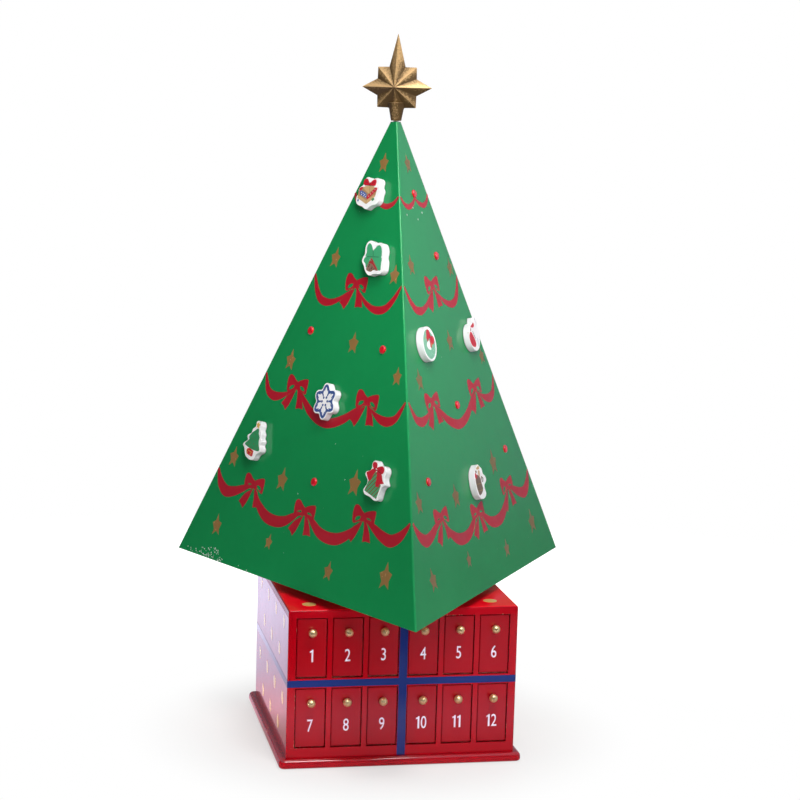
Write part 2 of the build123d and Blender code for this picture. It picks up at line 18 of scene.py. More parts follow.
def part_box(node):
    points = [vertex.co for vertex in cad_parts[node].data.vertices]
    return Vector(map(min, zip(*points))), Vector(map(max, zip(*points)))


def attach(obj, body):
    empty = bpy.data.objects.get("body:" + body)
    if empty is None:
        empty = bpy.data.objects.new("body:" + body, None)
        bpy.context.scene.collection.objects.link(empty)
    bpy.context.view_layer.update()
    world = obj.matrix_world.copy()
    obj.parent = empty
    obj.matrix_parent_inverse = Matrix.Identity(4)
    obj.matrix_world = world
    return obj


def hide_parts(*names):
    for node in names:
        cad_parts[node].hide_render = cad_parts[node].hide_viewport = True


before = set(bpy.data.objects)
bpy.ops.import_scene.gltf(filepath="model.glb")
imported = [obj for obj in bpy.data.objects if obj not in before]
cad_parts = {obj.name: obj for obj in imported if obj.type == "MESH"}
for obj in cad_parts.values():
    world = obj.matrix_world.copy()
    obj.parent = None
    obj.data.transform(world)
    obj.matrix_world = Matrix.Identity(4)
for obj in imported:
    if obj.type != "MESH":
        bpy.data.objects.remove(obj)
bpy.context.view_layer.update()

LOG = logging.getLogger("advent_calendar")
MM = 0.001
TO_METRES = Matrix.Scale(MM, 4)
WELD = 1e-4
RIBBON_STEP = 1.8
DIGIT_CAP = 0.729
DIGIT_WEIGHT = 0.008
DIGIT_NARROWING = 0.74
DIGIT_ONE = ((0.14, 0), (0.275, 0), (0.275, 1), (0.19, 1), (0.13, 0.92), (0, 0.86), (0, 0.76), (0.14, 0.8))

Colour = tuple[float, float, float]
Triple = tuple[float, float, float]
Point = tuple[float, float]
Outline = list[Point]
Place = tuple[float, float, float, float]
Mesh = bpy.types.Mesh
Socket = bpy.types.NodeSocket
Value = Socket | float
Spot = Socket | Triple
Shade = Socket | tuple[float, float, float, float]


# Node sheets
def rgba(colour: Colour) -> tuple[float, float, float, float]:
    """A colour with full opacity."""
    return (*colour, 1.0)


class Sheet:
    """Adds nodes to one node tree and joins them."""

    SOCKETS = {"VALUE": "NodeSocketFloat", "VECTOR": "NodeSocketVector", "COUNT": "NodeSocketInt",
               "SHAPE": "NodeSocketGeometry", "MATERIAL": "NodeSocketMaterial",
               "OBJECT": "NodeSocketObject"}

    def __init__(self, tree: bpy.types.NodeTree) -> None:
        """Keeps the tree that the nodes go into."""
        self.tree = tree

    @classmethod
    def group(cls, name: str, kind: str, inputs: dict[str, str], outputs: dict[str, str]) -> "Sheet":
        """Starts a node group with named sockets.

        Args:
            name: the group's name.
            kind: the kind of node tree.
            inputs: input names and their kinds, as in SOCKETS.
            outputs: output names and their kinds.

        Returns:
            A sheet on the new group, with its input and output nodes as `given` and `result`.
        """
        sheet = cls(bpy.data.node_groups.new(name, kind))
        for way, sockets in (("INPUT", inputs), ("OUTPUT", outputs)):
            for label, sort in sockets.items():
                sheet.tree.interface.new_socket(label, in_out=way, socket_type=cls.SOCKETS[sort])
        sheet.given = sheet.add("NodeGroupInput").outputs
        sheet.result = sheet.add("NodeGroupOutput").inputs
        return sheet

    @classmethod
    def effect(cls, name: str, outputs: str, **inputs: str) -> "Sheet":
        """Starts a shader node group that gives values, with the outputs' names in one text."""
        return cls.group(name, "ShaderNodeTree", inputs, {label: "VALUE" for label in outputs.split()})

    def add(self, kind: str, inputs: dict | None = None, **settings: object) -> bpy.types.Node:
        """Adds a node.

        Args:
            kind: Blender's name for the kind of node.
            inputs: values or sockets for its inputs, by name or number.
            settings: the node's own settings.

        Returns:
            The new node.
        """
        node = self.tree.nodes.new(kind)
        for name, value in settings.items():
            setattr(node, name, value)
        for key, value in (inputs or {}).items():
            self.feed(node.inputs[key], value)
        return node

    def feed(self, socket: Socket, value: object) -> None:
        """Links a socket to an input, or sets the input to a plain value.

        Args:
            socket: the input.
            value: the socket or the plain value.
        """
        if isinstance(value, Socket):
            self.tree.links.new(value, socket)
        else:
            socket.default_value = value

    def math(self, operation: str, first: Value, second: Value = 0.0) -> Socket:
        """One sum of two values or sockets."""
        return self.add("ShaderNodeMath", {0: first, 1: second}, operation=operation).outputs[0]

    def vector(self, operation: str, first: Spot, second: Spot = (0.0, 0.0, 0.0)) -> bpy.types.Node:
        """One vector sum."""
        return self.add("ShaderNodeVectorMath", {0: first, 1: second}, operation=operation)

    def ramp(self, value: Value, low: Value, high: Value, start: Value = 0.0, end: Value = 1.0) -> Socket:
        """A soft step.

        Args:
            value: the socket that is read.
            low: reading at which the step starts.
            high: reading at which it ends.
            start: result up to the start.
            end: result from the end on.

        Returns:
            The result's socket.
        """
        inputs = {"Value": value, "From Min": low, "From Max": high, "To Min": start, "To Max": end}
        return self.add("ShaderNodeMapRange", inputs, interpolation_type="SMOOTHSTEP").outputs[0]

    def mix(self, share: Value, first: Shade, second: Shade, blend: str = "MIX") -> Socket:
        """Two colours mixed by a share."""
        inputs = {0: share, 6: first, 7: second}
        return self.add("ShaderNodeMix", inputs, data_type="RGBA", blend_type=blend).outputs[2]

    def noise(self, where: Spot, scale: Value, detail: float = 2.0, roughness: float = 0.5) -> Socket:
        """Soft noise from 0 to 1."""
        inputs = {"Vector": where, "Scale": scale, "Detail": detail, "Roughness": roughness}
        return self.add("ShaderNodeTexNoise", inputs).outputs[0]

    def times(self, first: Value, second: Value) -> Socket:
        """One value times another."""
        return self.math("MULTIPLY", first, second)

    def plus(self, first: Value, second: Value) -> Socket:
        """The sum of two values."""
        return self.math("ADD", first, second)

    def minus(self, first: Value, second: Value) -> Socket:
        """One value less another."""
        return self.math("SUBTRACT", first, second)

    def larger(self, first: Value, second: Value) -> Socket:
        """The larger of two values."""
        return self.math("MAXIMUM", first, second)

    def split(self, vector: Spot) -> bpy.types.bpy_prop_collection:
        """A vector's three parts."""
        return self.add("ShaderNodeSeparateXYZ", {0: vector}).outputs

    def here(self) -> Socket:
        """The Object coordinates of the point that is shaded."""
        return self.add("ShaderNodeTexCoord").outputs["Object"]

    def use(self, tree: bpy.types.NodeTree, inputs: dict) -> bpy.types.bpy_prop_collection:
        """What a shader node group gives for these inputs."""
        return self.add("ShaderNodeGroup", inputs, node_tree=tree).outputs


# Effects that several finishes share
@cache
def paint_mottle() -> bpy.types.NodeTree:
    """Slow changes of tone and a fine uneven skin, as in any painted board.

    Returns:
        The node group.
    """
    sheet = Sheet.effect("paint_mottle", "Shade Patch Peel", Coordinates="VECTOR", Scale="VALUE",
                         Strength="VALUE")
    where = sheet.given["Coordinates"]
    broad = sheet.noise(where, sheet.given["Scale"], 3.0, 0.6)
    fine = sheet.noise(where, sheet.times(sheet.given["Scale"], 11.0), 2.0)
    patch = sheet.plus(sheet.times(broad, 0.7), sheet.times(fine, 0.3))
    swing = sheet.times(sheet.minus(patch, 0.5), sheet.given["Strength"])
    sheet.feed(sheet.result["Shade"], sheet.plus(1.0, sheet.times(swing, 2.0)))
    sheet.feed(sheet.result["Patch"], patch)
    sheet.feed(sheet.result["Peel"], sheet.noise(where, 420.0, 2.0))
    return sheet.tree


@cache
def edge_chips() -> bpy.types.NodeTree:
    """Places near an edge where the paint has worn through.

    Returns:
        The node group.
    """
    sheet = Sheet.effect("edge_chips", "Mask", Coordinates="VECTOR", Distance="VALUE", Reach="VALUE",
                         Cover="VALUE")
    where = sheet.given["Coordinates"]
    ragged = sheet.noise(where, 520.0, 3.0, 0.65)
    stretch = sheet.noise(where, 38.0, 2.0)
    bite = sheet.times(sheet.ramp(ragged, 0.42, 0.78), sheet.ramp(stretch, 0.45, 0.7))
    depth = sheet.times(bite, sheet.given["Reach"])
    inside = sheet.minus(sheet.times(depth, sheet.given["Cover"]), sheet.given["Distance"])
    sheet.feed(sheet.result["Mask"], sheet.ramp(inside, 0.0, 0.12))
    return sheet.tree


@cache
def specks() -> bpy.types.NodeTree:
    """Scattered small dots, such as dust under lacquer or spots of paint.

    Returns:
        The node group.
    """
    sheet = Sheet.effect("specks", "Mask", Coordinates="VECTOR", Spacing="VALUE", Share="VALUE",
                         Size="VALUE")
    scale = sheet.math("DIVIDE", 1.0, sheet.given["Spacing"])
    cells = sheet.add("ShaderNodeTexVoronoi", {"Vector": sheet.given["Coordinates"], "Scale": scale})
    lots = sheet.add("ShaderNodeSeparateColor", {"Color": cells.outputs["Color"]}).outputs
    near = sheet.math("LESS_THAN", cells.outputs["Distance"], sheet.times(lots[1], sheet.given["Size"]))
    drawn = sheet.math("LESS_THAN", lots[0], sheet.given["Share"])
    sheet.feed(sheet.result["Mask"], sheet.times(near, drawn))
    return sheet.tree


@cache
def wood_grain() -> bpy.types.NodeTree:
    """Long streaks and pores, running along the coordinates' first axis.

    Returns:
        The node group.
    """
    sheet = Sheet.effect("wood_grain", "Tone Height", Coordinates="VECTOR")
    drawn_out = {"Vector": sheet.given["Coordinates"], "Scale": (0.06, 1.0, 1.0)}
    along = sheet.add("ShaderNodeMapping", drawn_out).outputs[0]
    streaks = sheet.noise(along, 95.0, 4.0, 0.6)
    waves = {"Vector": along, "Scale": 22.0, "Distortion": 5.0, "Detail": 2.0, "Detail Scale": 1.4}
    rings = sheet.add("ShaderNodeTexWave", waves, bands_direction="Y").outputs[1]
    pores = sheet.noise(along, 900.0, 2.0)
    tone = sheet.plus(sheet.times(streaks, 0.6), sheet.times(rings, 0.4))
    sheet.feed(sheet.result["Tone"], tone)
    sheet.feed(sheet.result["Height"], sheet.plus(pores, sheet.times(streaks, 0.6)))
    return sheet.tree


@cache
def board_edges() -> bpy.types.NodeTree:
    """Distance in millimetres from a point on a board's surface to the board's nearest edge.

    Returns:
        The node group.
    """
    sheet = Sheet.effect("board_edges", "Distance", Coordinates="VECTOR", Centre="VECTOR", Half="VECTOR")
    off = sheet.vector("SUBTRACT", sheet.given["Coordinates"], sheet.given["Centre"])
    inward = sheet.vector("SUBTRACT", sheet.given["Half"],
                          sheet.vector("ABSOLUTE", off.outputs[0]).outputs[0])
    x, y, z = sheet.split(inward.outputs[0])
    middle = sheet.larger(sheet.math("MINIMUM", x, y), sheet.math("MINIMUM", sheet.larger(x, y), z))
    sheet.feed(sheet.result["Distance"], sheet.times(middle, 1.0 / MM))
    return sheet.tree


class EdgeRule(ABC):
    """How a finish finds the edges of the piece that it is on."""

    @abstractmethod
    def distance(self, sheet: Sheet, where: Socket) -> Socket:
        """Distance to the nearest edge in millimetres.

        Args:
            sheet: the material's sheet.
            where: the Object coordinates.

        Returns:
            The distance's socket.
        """


@dataclass(frozen=True)
class BoardEdges(EdgeRule):
    """A square board, in the object's frame or in the piece's own `local` attribute, in metres."""

    centre: Triple
    half: Triple
    local: bool = False

    def distance(self, sheet: Sheet, where: Socket) -> Socket:
        """Distance to the nearest edge of the board.

        Args:
            sheet: the material's sheet.
            where: the Object coordinates.

        Returns:
            The distance's socket.
        """
        if self.local:
            where = sheet.add("ShaderNodeAttribute", attribute_name="local").outputs["Vector"]
        inputs = {"Coordinates": where, "Centre": self.centre, "Half": self.half}
        return sheet.use(board_edges(), inputs)[0]


@dataclass(frozen=True)
class PanelEdges(EdgeRule):
    """A tree panel: its foot and its two arrises."""

    middle: Triple
    across: Triple
    up: Triple
    half_foot: float
    taper: float

    def distance(self, sheet: Sheet, where: Socket) -> Socket:
        """Distance to the panel's foot or arrises.

        Args:
            sheet: the material's sheet.
            where: the Object coordinates.

        Returns:
            The distance's socket.
        """
        off = sheet.vector("SUBTRACT", where, self.middle).outputs[0]
        across = sheet.math("ABSOLUTE", sheet.vector("DOT_PRODUCT", off, self.across).outputs["Value"])
        up = sheet.vector("DOT_PRODUCT", off, self.up).outputs["Value"]
        half = sheet.minus(self.half_foot, sheet.times(up, self.taper))
        near = sheet.math("MINIMUM", sheet.minus(half, across), up)
        return sheet.times(sheet.larger(near, 0.0), 1.0 / MM)


@dataclass(frozen=True)
class BackEdge(EdgeRule):
    """The edge of an ornament that lies on the tree's face."""

    middle: Triple
    normal: Triple

    def distance(self, sheet: Sheet, where: Socket) -> Socket:
        """Distance from the face."""
        off = sheet.vector("SUBTRACT", where, self.middle).outputs[0]
        return sheet.times(sheet.vector("DOT_PRODUCT", off, self.normal).outputs["Value"], 1.0 / MM)


# Finishes
@dataclass(frozen=True)
class Finish(ABC):
    """What a surface is made of."""

    name: str

    @abstractmethod
    def wire(self, sheet: Sheet, shader: bpy.types.Node) -> None:
        """Joins the finish's nodes to the shader."""

    def make(self) -> bpy.types.Material:
        """The finish's material, made once.

        Returns:
            The material.
        """
        found = bpy.data.materials.get(self.name)
        if found:
            return found
        material = bpy.data.materials.new(self.name)
        material.use_nodes = True
        sheet = Sheet(material.node_tree)
        self.wire(sheet, material.node_tree.nodes["Principled BSDF"])
        return material

    @staticmethod
    def bump(sheet: Sheet, shader: bpy.types.Node, height: Socket) -> None:
        """Gives the shader a bump whose heights are in millimetres."""
        node = sheet.add("ShaderNodeBump", {"Height": height, "Distance": MM, "Strength": 1.0})
        sheet.feed(shader.inputs["Normal"], node.outputs[0])


@dataclass(frozen=True)
class Paint(Finish):
    """Paint, lacquer or ink on a hard board."""

    colour: Colour
    roughness: Point = (0.28, 0.4)
    mottle: float = 0.1
    mottle_scale: float = 16.0
    peel: float = 0.006
    metallic: float = 0.0
    coat: float = 0.0
    coat_roughness: float = 0.1
    ior: float = 1.5
    specular: float = 0.5
    # Width in millimetres of a dark band along the edges: painted shade, for the gaps round the drawer
    # fronts and the ornaments' contact shadow.
    rim: float = 0.0
    rim_colour: Colour = (0.01, 0.0, 0.001)
    speck_colour: Colour = (0.6, 0.55, 0.5)
    speck_share: float = 0.0
    speck_spacing: float = 0.012
    speck_size: float = 0.06
    bare: Colour = (0.62, 0.45, 0.3)
    chip_reach: float = 2.2
    chip_cover: float = 1.0
    edges: EdgeRule | None = None
    # A brighter colour for faces above a height in millimetres, fading in below it: painted light.
    shaded: Colour | None = None
    shaded_above: float = 0.0
    shaded_fade: float = 0.8

    def wire(self, sheet: Sheet, shader: bpy.types.Node) -> None:
        """Mottled paint with specks, and chips along the edges where the piece has some.

        Args:
            sheet: the material's sheet.
            shader: its shader node.
        """
        where = sheet.here()
        base = rgba(self.colour)
        # Painted light: faces above the given height are mixed towards the brighter colour.
        if self.shaded:
            height = sheet.times(sheet.split(where)[2], 1.0 / MM)
            painted_light_share = sheet.ramp(height, self.shaded_above - self.shaded_fade, self.shaded_above)
            base = sheet.mix(painted_light_share, base, rgba(self.shaded))
        skin = sheet.use(paint_mottle(), {"Coordinates": where, "Scale": self.mottle_scale,
                                          "Strength": self.mottle})
        colour = sheet.mix(1.0, base, skin["Shade"], "MULTIPLY")
        rough = sheet.ramp(skin["Patch"], 0.35, 0.65, *self.roughness)
        height = sheet.times(skin["Peel"], self.peel)
        if self.speck_share:
            dots = sheet.use(specks(), {"Coordinates": where, "Spacing": self.speck_spacing,
                                        "Share": self.speck_share, "Size": self.speck_size})[0]
            colour = sheet.mix(dots, colour, rgba(self.speck_colour))
            height = sheet.plus(height, sheet.times(dots, 0.01))
        if self.edges:
            inside = self.edges.distance(sheet, where)
            # Painted shade: a dark band along the edges, darkest right at the edge.
            if self.rim:
                colour = sheet.mix(sheet.ramp(inside, 0.3 * self.rim, self.rim, 0.85, 0.0), colour,
                                   rgba(self.rim_colour))
            chips = sheet.use(edge_chips(),
                              {"Coordinates": where, "Reach": self.chip_reach, "Distance": inside,
                               "Cover": self.chip_cover})[0]
            colour = sheet.mix(chips, colour, rgba(self.bare))
            rough = sheet.larger(rough, sheet.times(chips, 0.7))
            height = sheet.minus(height, sheet.times(chips, 0.06))
        sheet.feed(shader.inputs["Base Color"], colour)
        sheet.feed(shader.inputs["Roughness"], rough)
        even = {"Metallic": self.metallic, "IOR": self.ior, "Specular IOR Level": self.specular,
                "Coat Weight": self.coat, "Coat Roughness": self.coat_roughness}
        for name, value in even.items():
            shader.inputs[name].default_value = value
        self.bump(sheet, shader, height)


@dataclass(frozen=True)
class Wood(Finish):
    """Bare pale wood."""

    light: Colour = (0.66, 0.49, 0.31)
    dark: Colour = (0.44, 0.29, 0.16)
    turn: Triple = (0.0, 0.0, 0.0)

    def wire(self, sheet: Sheet, shader: bpy.types.Node) -> None:
        """Grain in colour, roughness and bump.

        Args:
            sheet: the material's sheet.
            shader: its shader node.
        """
        where = sheet.here()
        turned = sheet.add("ShaderNodeMapping", {"Vector": where, "Rotation": self.turn}).outputs[0]
        grain = sheet.use(wood_grain(), {"Coordinates": turned})
        colour = sheet.mix(sheet.ramp(grain["Tone"], 0.25, 0.75), rgba(self.dark), rgba(self.light))
        sheet.feed(shader.inputs["Base Color"], colour)
        sheet.feed(shader.inputs["Roughness"], sheet.ramp(grain["Tone"], 0.2, 0.8, 0.68, 0.55))
        self.bump(sheet, shader, sheet.times(grain["Height"], 0.02))


@dataclass(frozen=True)
class Metal(Finish):
    """Polished or plated metal with fine rubbing marks."""

    colour: Colour
    tarnish: Colour
    roughness: Point = (0.14, 0.3)
    metallic: float = 1.0

    def wire(self, sheet: Sheet, shader: bpy.types.Node) -> None:
        """Metal with tarnish in patches and rubbed bumps.

        Args:
            sheet: the material's sheet.
            shader: its shader node.
        """
        where = sheet.here()
        skin = sheet.use(paint_mottle(), {"Coordinates": where, "Scale": 130.0, "Strength": 0.08})
        colour = sheet.mix(sheet.ramp(skin["Patch"], 0.5, 0.72), rgba(self.colour), rgba(self.tarnish))
        sheet.feed(shader.inputs["Base Color"], colour)
        sheet.feed(shader.inputs["Roughness"], sheet.ramp(skin["Patch"], 0.35, 0.7, *self.roughness))
        shader.inputs["Metallic"].default_value = self.metallic
        self.bump(sheet, shader, sheet.times(skin["Peel"], 0.004))


@dataclass(frozen=True)
class Gilt(Finish):
    """Antique gold on the star: rubbed bright along the ridges, dark in the valleys, with painted light on
    its upward facets and painted shade on its downward ones.
    """

    bright: Colour
    deep: Colour
    centre: Triple
    turn: float
    points: int = 8

    def wire(self, sheet: Sheet, shader: bpy.types.Node) -> None:
        """Reads the angle round the star's middle, and so where the ridges and valleys run.

        Args:
            sheet: the material's sheet.
            shader: its shader node.
        """
        where = sheet.here()
        off = sheet.vector("SUBTRACT", where, self.centre).outputs[0]
        facing = sheet.add("ShaderNodeVectorRotate", {"Vector": off, "Angle": -self.turn},
                           rotation_type="Z_AXIS").outputs[0]
        x, _, z = sheet.split(facing)
        step = pi / self.points
        ridge = sheet.math("PINGPONG", sheet.math("ARCTAN2", x, z), step)
        ridge = sheet.minus(1.0, sheet.math("DIVIDE", ridge, step))
        skin = sheet.use(paint_mottle(), {"Coordinates": where, "Scale": 55.0, "Strength": 0.2})
        grain = sheet.noise(where, 900.0, 3.0, 0.7)
        # Painted light and shade: the colour also follows the facet's normal, lighter facing up and darker
        # facing down.
        _, _, up = sheet.split(sheet.add("ShaderNodeNewGeometry").outputs["Normal"])
        rub_and_painted_light = sheet.plus(sheet.ramp(ridge, 0.1, 0.95, -0.1, 0.35), sheet.ramp(up, -0.45, 0.5, -0.25, 0.4))
        rub_and_painted_light = sheet.plus(rub_and_painted_light, sheet.times(sheet.minus(grain, 0.5), 1.5))
        rub_and_painted_light = sheet.plus(rub_and_painted_light, sheet.times(sheet.minus(skin["Patch"], 0.5), 0.8))
        colour = sheet.mix(sheet.ramp(rub_and_painted_light, 0.0, 0.8), rgba(self.deep), rgba(self.bright))
        sheet.feed(shader.inputs["Base Color"], colour)
        sheet.feed(shader.inputs["Roughness"], sheet.ramp(rub_and_painted_light, 0.1, 0.9, 0.6, 0.4))
        shader.inputs["Metallic"].default_value = 0.4
        self.bump(sheet, shader, sheet.times(grain, 0.16))


CABINET_RED = Paint("cabinet_red", (0.34, 0.0005, 0.0055), roughness=(0.16, 0.26), specular=0.04, coat=1.0,
                    coat_roughness=0.05, speck_share=0.05, speck_colour=(0.2, 0.002, 0.006))
# Painted light: the top board's red is brighter than the cabinet's, and brighter still on its upper face,
# standing in for light that the tree's shadow keeps off it.
TOP_RED_PAINTED_LIGHT = replace(CABINET_RED, colour=(0.37, 0.0006, 0.007), coat=0.3, shaded=(0.97, 0.0014, 0.014),
                  shaded_above=157.95)
DRAWER_RED = replace(CABINET_RED, name="drawer_red", colour=(0.3, 0.0004, 0.005), coat_roughness=0.15)
# Painted shade: the knobs' collars are a much darker red than the drawers, standing in for the shade round
# each knob's foot.
SHADED_COLLAR_RED = replace(CABINET_RED, name="knob_collar_red", colour=(0.1, 0.0003, 0.002), speck_share=0.0)
RIBBON_BLUE = replace(CABINET_RED, name="ribbon_blue", colour=(0.008, 0.022, 0.14), mottle=0.16,
                      speck_share=0.0)
DOT_GOLD = replace(RIBBON_BLUE, name="dot_gold", colour=(0.95, 0.62, 0.2), mottle=0.18)
GREEN_LACQUER = Paint("green_lacquer", (0.0068, 0.258, 0.072), roughness=(0.12, 0.19), specular=0.32,
                      mottle=0.12, mottle_scale=9.0, peel=0.003, speck_share=0.22, speck_spacing=0.011,
                      speck_size=0.05, speck_colour=(0.16, 0.4, 0.26), bare=(0.3, 0.42, 0.28),
                      chip_reach=1.6, chip_cover=0.75)
STAR_GOLD = Paint("painted_star_gold", (0.285, 0.152, 0.041), mottle=0.26, mottle_scale=60.0,
                  roughness=(0.4, 0.6), speck_share=0.4, speck_spacing=0.0026, speck_size=0.35,
                  speck_colour=(0.5, 0.3, 0.1))
RUBBED_GOLD = replace(STAR_GOLD, name="rubbed_star_gold", colour=(0.21, 0.125, 0.045), speck_share=0.5,
                      speck_size=0.5, speck_spacing=0.0022, speck_colour=(0.045, 0.24, 0.08))
GARLAND_RED = Paint("garland_red", (0.44, 0.004, 0.019), mottle=0.16, mottle_scale=34.0,
                    roughness=(0.3, 0.45))
NUMBER_WHITE = Paint("number_white", (0.68, 0.62, 0.74), mottle=0.05, mottle_scale=120.0,
                     roughness=(0.4, 0.55))
STUD_RED = Paint("stud_gloss_red", (0.62, 0.008, 0.016), mottle=0.06, roughness=(0.1, 0.18), coat=0.5)
# The sides' white is darker than the fronts' and a little pink: painted shade on the sides, and a painted
# cancel of the green light thrown back by the tree.
ORNAMENT_WHITE = Paint("ornament_white", (0.77, 0.73, 0.78), mottle=0.06, mottle_scale=60.0,
                       roughness=(0.32, 0.48), speck_share=0.12, speck_spacing=0.006, speck_size=0.16,
                       speck_colour=(0.62, 0.56, 0.5))
SCUFF = Paint("scuffed_lacquer", (0.78, 0.84, 0.82), mottle=0.3, mottle_scale=200.0, roughness=(0.6, 0.8))
BIRCH = Wood("birch_drawer_boards", turn=(0.0, 0.0, pi / 2))
BIRCH_FLAT = Wood("birch_inner_boards")
BRASS = Metal("polished_brass", (0.94, 0.7, 0.34), (0.74, 0.52, 0.22), roughness=(0.24, 0.36),
              metallic=0.86)
ZINC = Metal("zinc_plate", (0.62, 0.62, 0.63), (0.42, 0.42, 0.44), roughness=(0.28, 0.45))


class Ink(Enum):
    """Colours of the ornaments' printed fronts."""

    WHITE = (0.96, 0.96, 0.97)
    NAVY = (0.025, 0.075, 0.28)
    RED = (0.58, 0.008, 0.025)
    CRIMSON = (0.4, 0.008, 0.02)
    DARK_RED = (0.22, 0.006, 0.014)
    GREEN = (0.03, 0.3, 0.11)
    LEAF = (0.05, 0.38, 0.17)
    DARK_GREEN = (0.012, 0.09, 0.035)
    TAN = (0.6, 0.4, 0.19)
    WOOD = (0.42, 0.26, 0.12)
    GOLD = (0.75, 0.45, 0.08)
    OCHRE = (0.3, 0.19, 0.05)
    BROWN = (0.16, 0.1, 0.06)
    CONE = (0.27, 0.15, 0.1)
    DARK = (0.035, 0.02, 0.018)
    OLIVE = (0.16, 0.14, 0.05)
    PALE_GREEN = (0.2, 0.5, 0.33)
    MINT = (0.28, 0.58, 0.42)
    SKY = (0.05, 0.12, 0.4)
    SNOW = (0.7, 0.74, 0.8)

    def paint(self) -> Paint:
        """The ink as a finish."""
        return Paint(f"ink_{self.name.lower()}", self.value, mottle=0.14, mottle_scale=150.0,
                     roughness=(0.34, 0.5))


# Flat outlines
def disc(x: float, y: float, radius: float, corners: int = 28) -> Outline:
    """A round outline."""
    return [(x + radius * cos(2 * pi * i / corners), y + radius * sin(2 * pi * i / corners))
            for i in range(corners)]


def capsule(x: float, y: float, length: float, width: float, lean: float, corners: int = 7) -> Outline:
    """A bar with round ends.

    Args:
        x: middle across.
        y: middle up.
        length: overall length.
        width: width, which is also the ends' diameter.
        lean: the bar's angle in degrees.
        corners: corners round each end.

    Returns:
        The closed outline.
    """
    reach, radius = (length - width) / 2, width / 2
    points = []
    for end, start in ((reach, -90), (-reach, 90)):
        for i in range(corners):
            angle = radians(start + 180 * i / (corners - 1))
            points.append((end + radius * cos(angle), radius * sin(angle)))
    return moved(points, x, y, lean)


def moved(outline: Outline, x: float, y: float, lean: float = 0.0, size: float = 1.0) -> Outline:
    """An outline made larger, turned and moved."""
    c, s = cos(radians(lean)) * size, sin(radians(lean)) * size
    return [(x + px * c - py * s, y + px * s + py * c) for px, py in outline]


def soft(points: Outline, steps: int = 4) -> Outline:
    """A closed smooth line through the points.

    Args:
        points: the points that the line passes.
        steps: points to make from each one.

    Returns:
        The finer outline.
    """
    fine = []
    count = len(points)
    for i in range(count):
        a, b, c, d = (Vector(points[(i + k - 1) % count]) for k in range(4))
        for step in range(steps):
            t = step / steps
            p = b * 2 + (c - a) * t + (a * 2 - b * 5 + c * 4 - d) * t ** 2
            p = p + (b * 3 - a - c * 3 + d) * t ** 3
            fine.append((p.x / 2, p.y / 2))
    return fine


def cut(outline: Outline, point: Point, out: Point) -> Outline:
    """What is left of a convex outline behind a straight line.

    Args:
        outline: the closed outline.
        point: a point on the line.
        out: direction that is cut away.

    Returns:
        The rest, which may be empty.
    """
    rest: Outline = []
    reach = [(x - point[0]) * out[0] + (y - point[1]) * out[1] for x, y in outline]
    for i, (x, y) in enumerate(outline):
        before, (px, py) = reach[i - 1], outline[i - 1]
        if (before > 0) != (reach[i] > 0):
            share = before / (before - reach[i])
            rest.append((px + (x - px) * share, py + (y - py) * share))
        if reach[i] <= 0:
            rest.append((x, y))
    return rest


def star_outline(points: int, outer: float, inner: float, lean: float = 0.0) -> Outline:
    """A star with one point up.

    Args:
        points: how many points it has.
        outer: reach of the points.
        inner: reach of the notches.
        lean: its turn in degrees.

    Returns:
        The closed outline.
    """
    corners = []
    for i in range(2 * points):
        angle, reach = pi * i / points + radians(lean), inner if i % 2 else outer
        corners.append((-reach * sin(angle), reach * cos(angle)))
    return corners


# Meshes
def put(name: str, data: bpy.types.ID) -> bpy.types.Object:
    """A new object in the scene.

    Args:
        name: the object's name.
        data: its mesh, lamp or camera.

    Returns:
        The object.
    """
    made = bpy.data.objects.new(name, data)
    bpy.context.scene.collection.objects.link(made)
    return made


def placed(mesh: Mesh, matrix: Matrix) -> Mesh:
    """A mesh moved by a matrix."""
    mesh.transform(matrix)
    return mesh


def kept(shell: bmesh.types.BMesh, name: str) -> Mesh:
    """A shell that was being worked on, as a plain mesh.

    Args:
        shell: the shell, which is used up.
        name: the mesh's name.

    Returns:
        The mesh.
    """
    mesh = bpy.data.meshes.new(name)
    shell.to_mesh(mesh)
    shell.free()
    return mesh


def opened(node: str, place: Matrix, weld: float, flat: float) -> bmesh.types.BMesh:
    """A copy of a solid to work on, without doubled corners and needless edges.

    Args:
        node: the solid's name.
        place: where the copy is moved to.
        weld: corners nearer than this become one.
        flat: faces that meet at less than this angle, in degrees, become one.

    Returns:
        The copy.
    """
    shell = bmesh.new()
    shell.from_mesh(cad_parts[node].data)
    shell.transform(place)
    bmesh.ops.remove_doubles(shell, verts=shell.verts, dist=weld)
    bmesh.ops.dissolve_limit(shell, angle_limit=radians(flat), verts=shell.verts, edges=shell.edges)
    return shell


def filled(curve: bpy.types.Curve) -> Mesh:
    """The plain mesh of a flat curve, which uses the curve up.

    Args:
        curve: the curve or the text.

    Returns:
        The mesh.
    """
    holder = bpy.data.objects.new("outline", curve)
    mesh = bpy.data.meshes.new_from_object(holder)
    bpy.data.objects.remove(holder)
    bpy.data.curves.remove(curve)
    return mesh


def close(mesh: Mesh, weld: float = WELD) -> Mesh:
    """Merges doubled corners and turns every face outwards.

    Args:
        mesh: the mesh.
        weld: corners nearer than this become one.

    Returns:
        The same mesh.
    """
    shell = bmesh.new()
    shell.from_mesh(mesh)
    bmesh.ops.remove_doubles(shell, verts=shell.verts, dist=weld)
    bmesh.ops.recalc_face_normals(shell, faces=shell.faces)
    shell.to_mesh(mesh)
    shell.free()
    return mesh


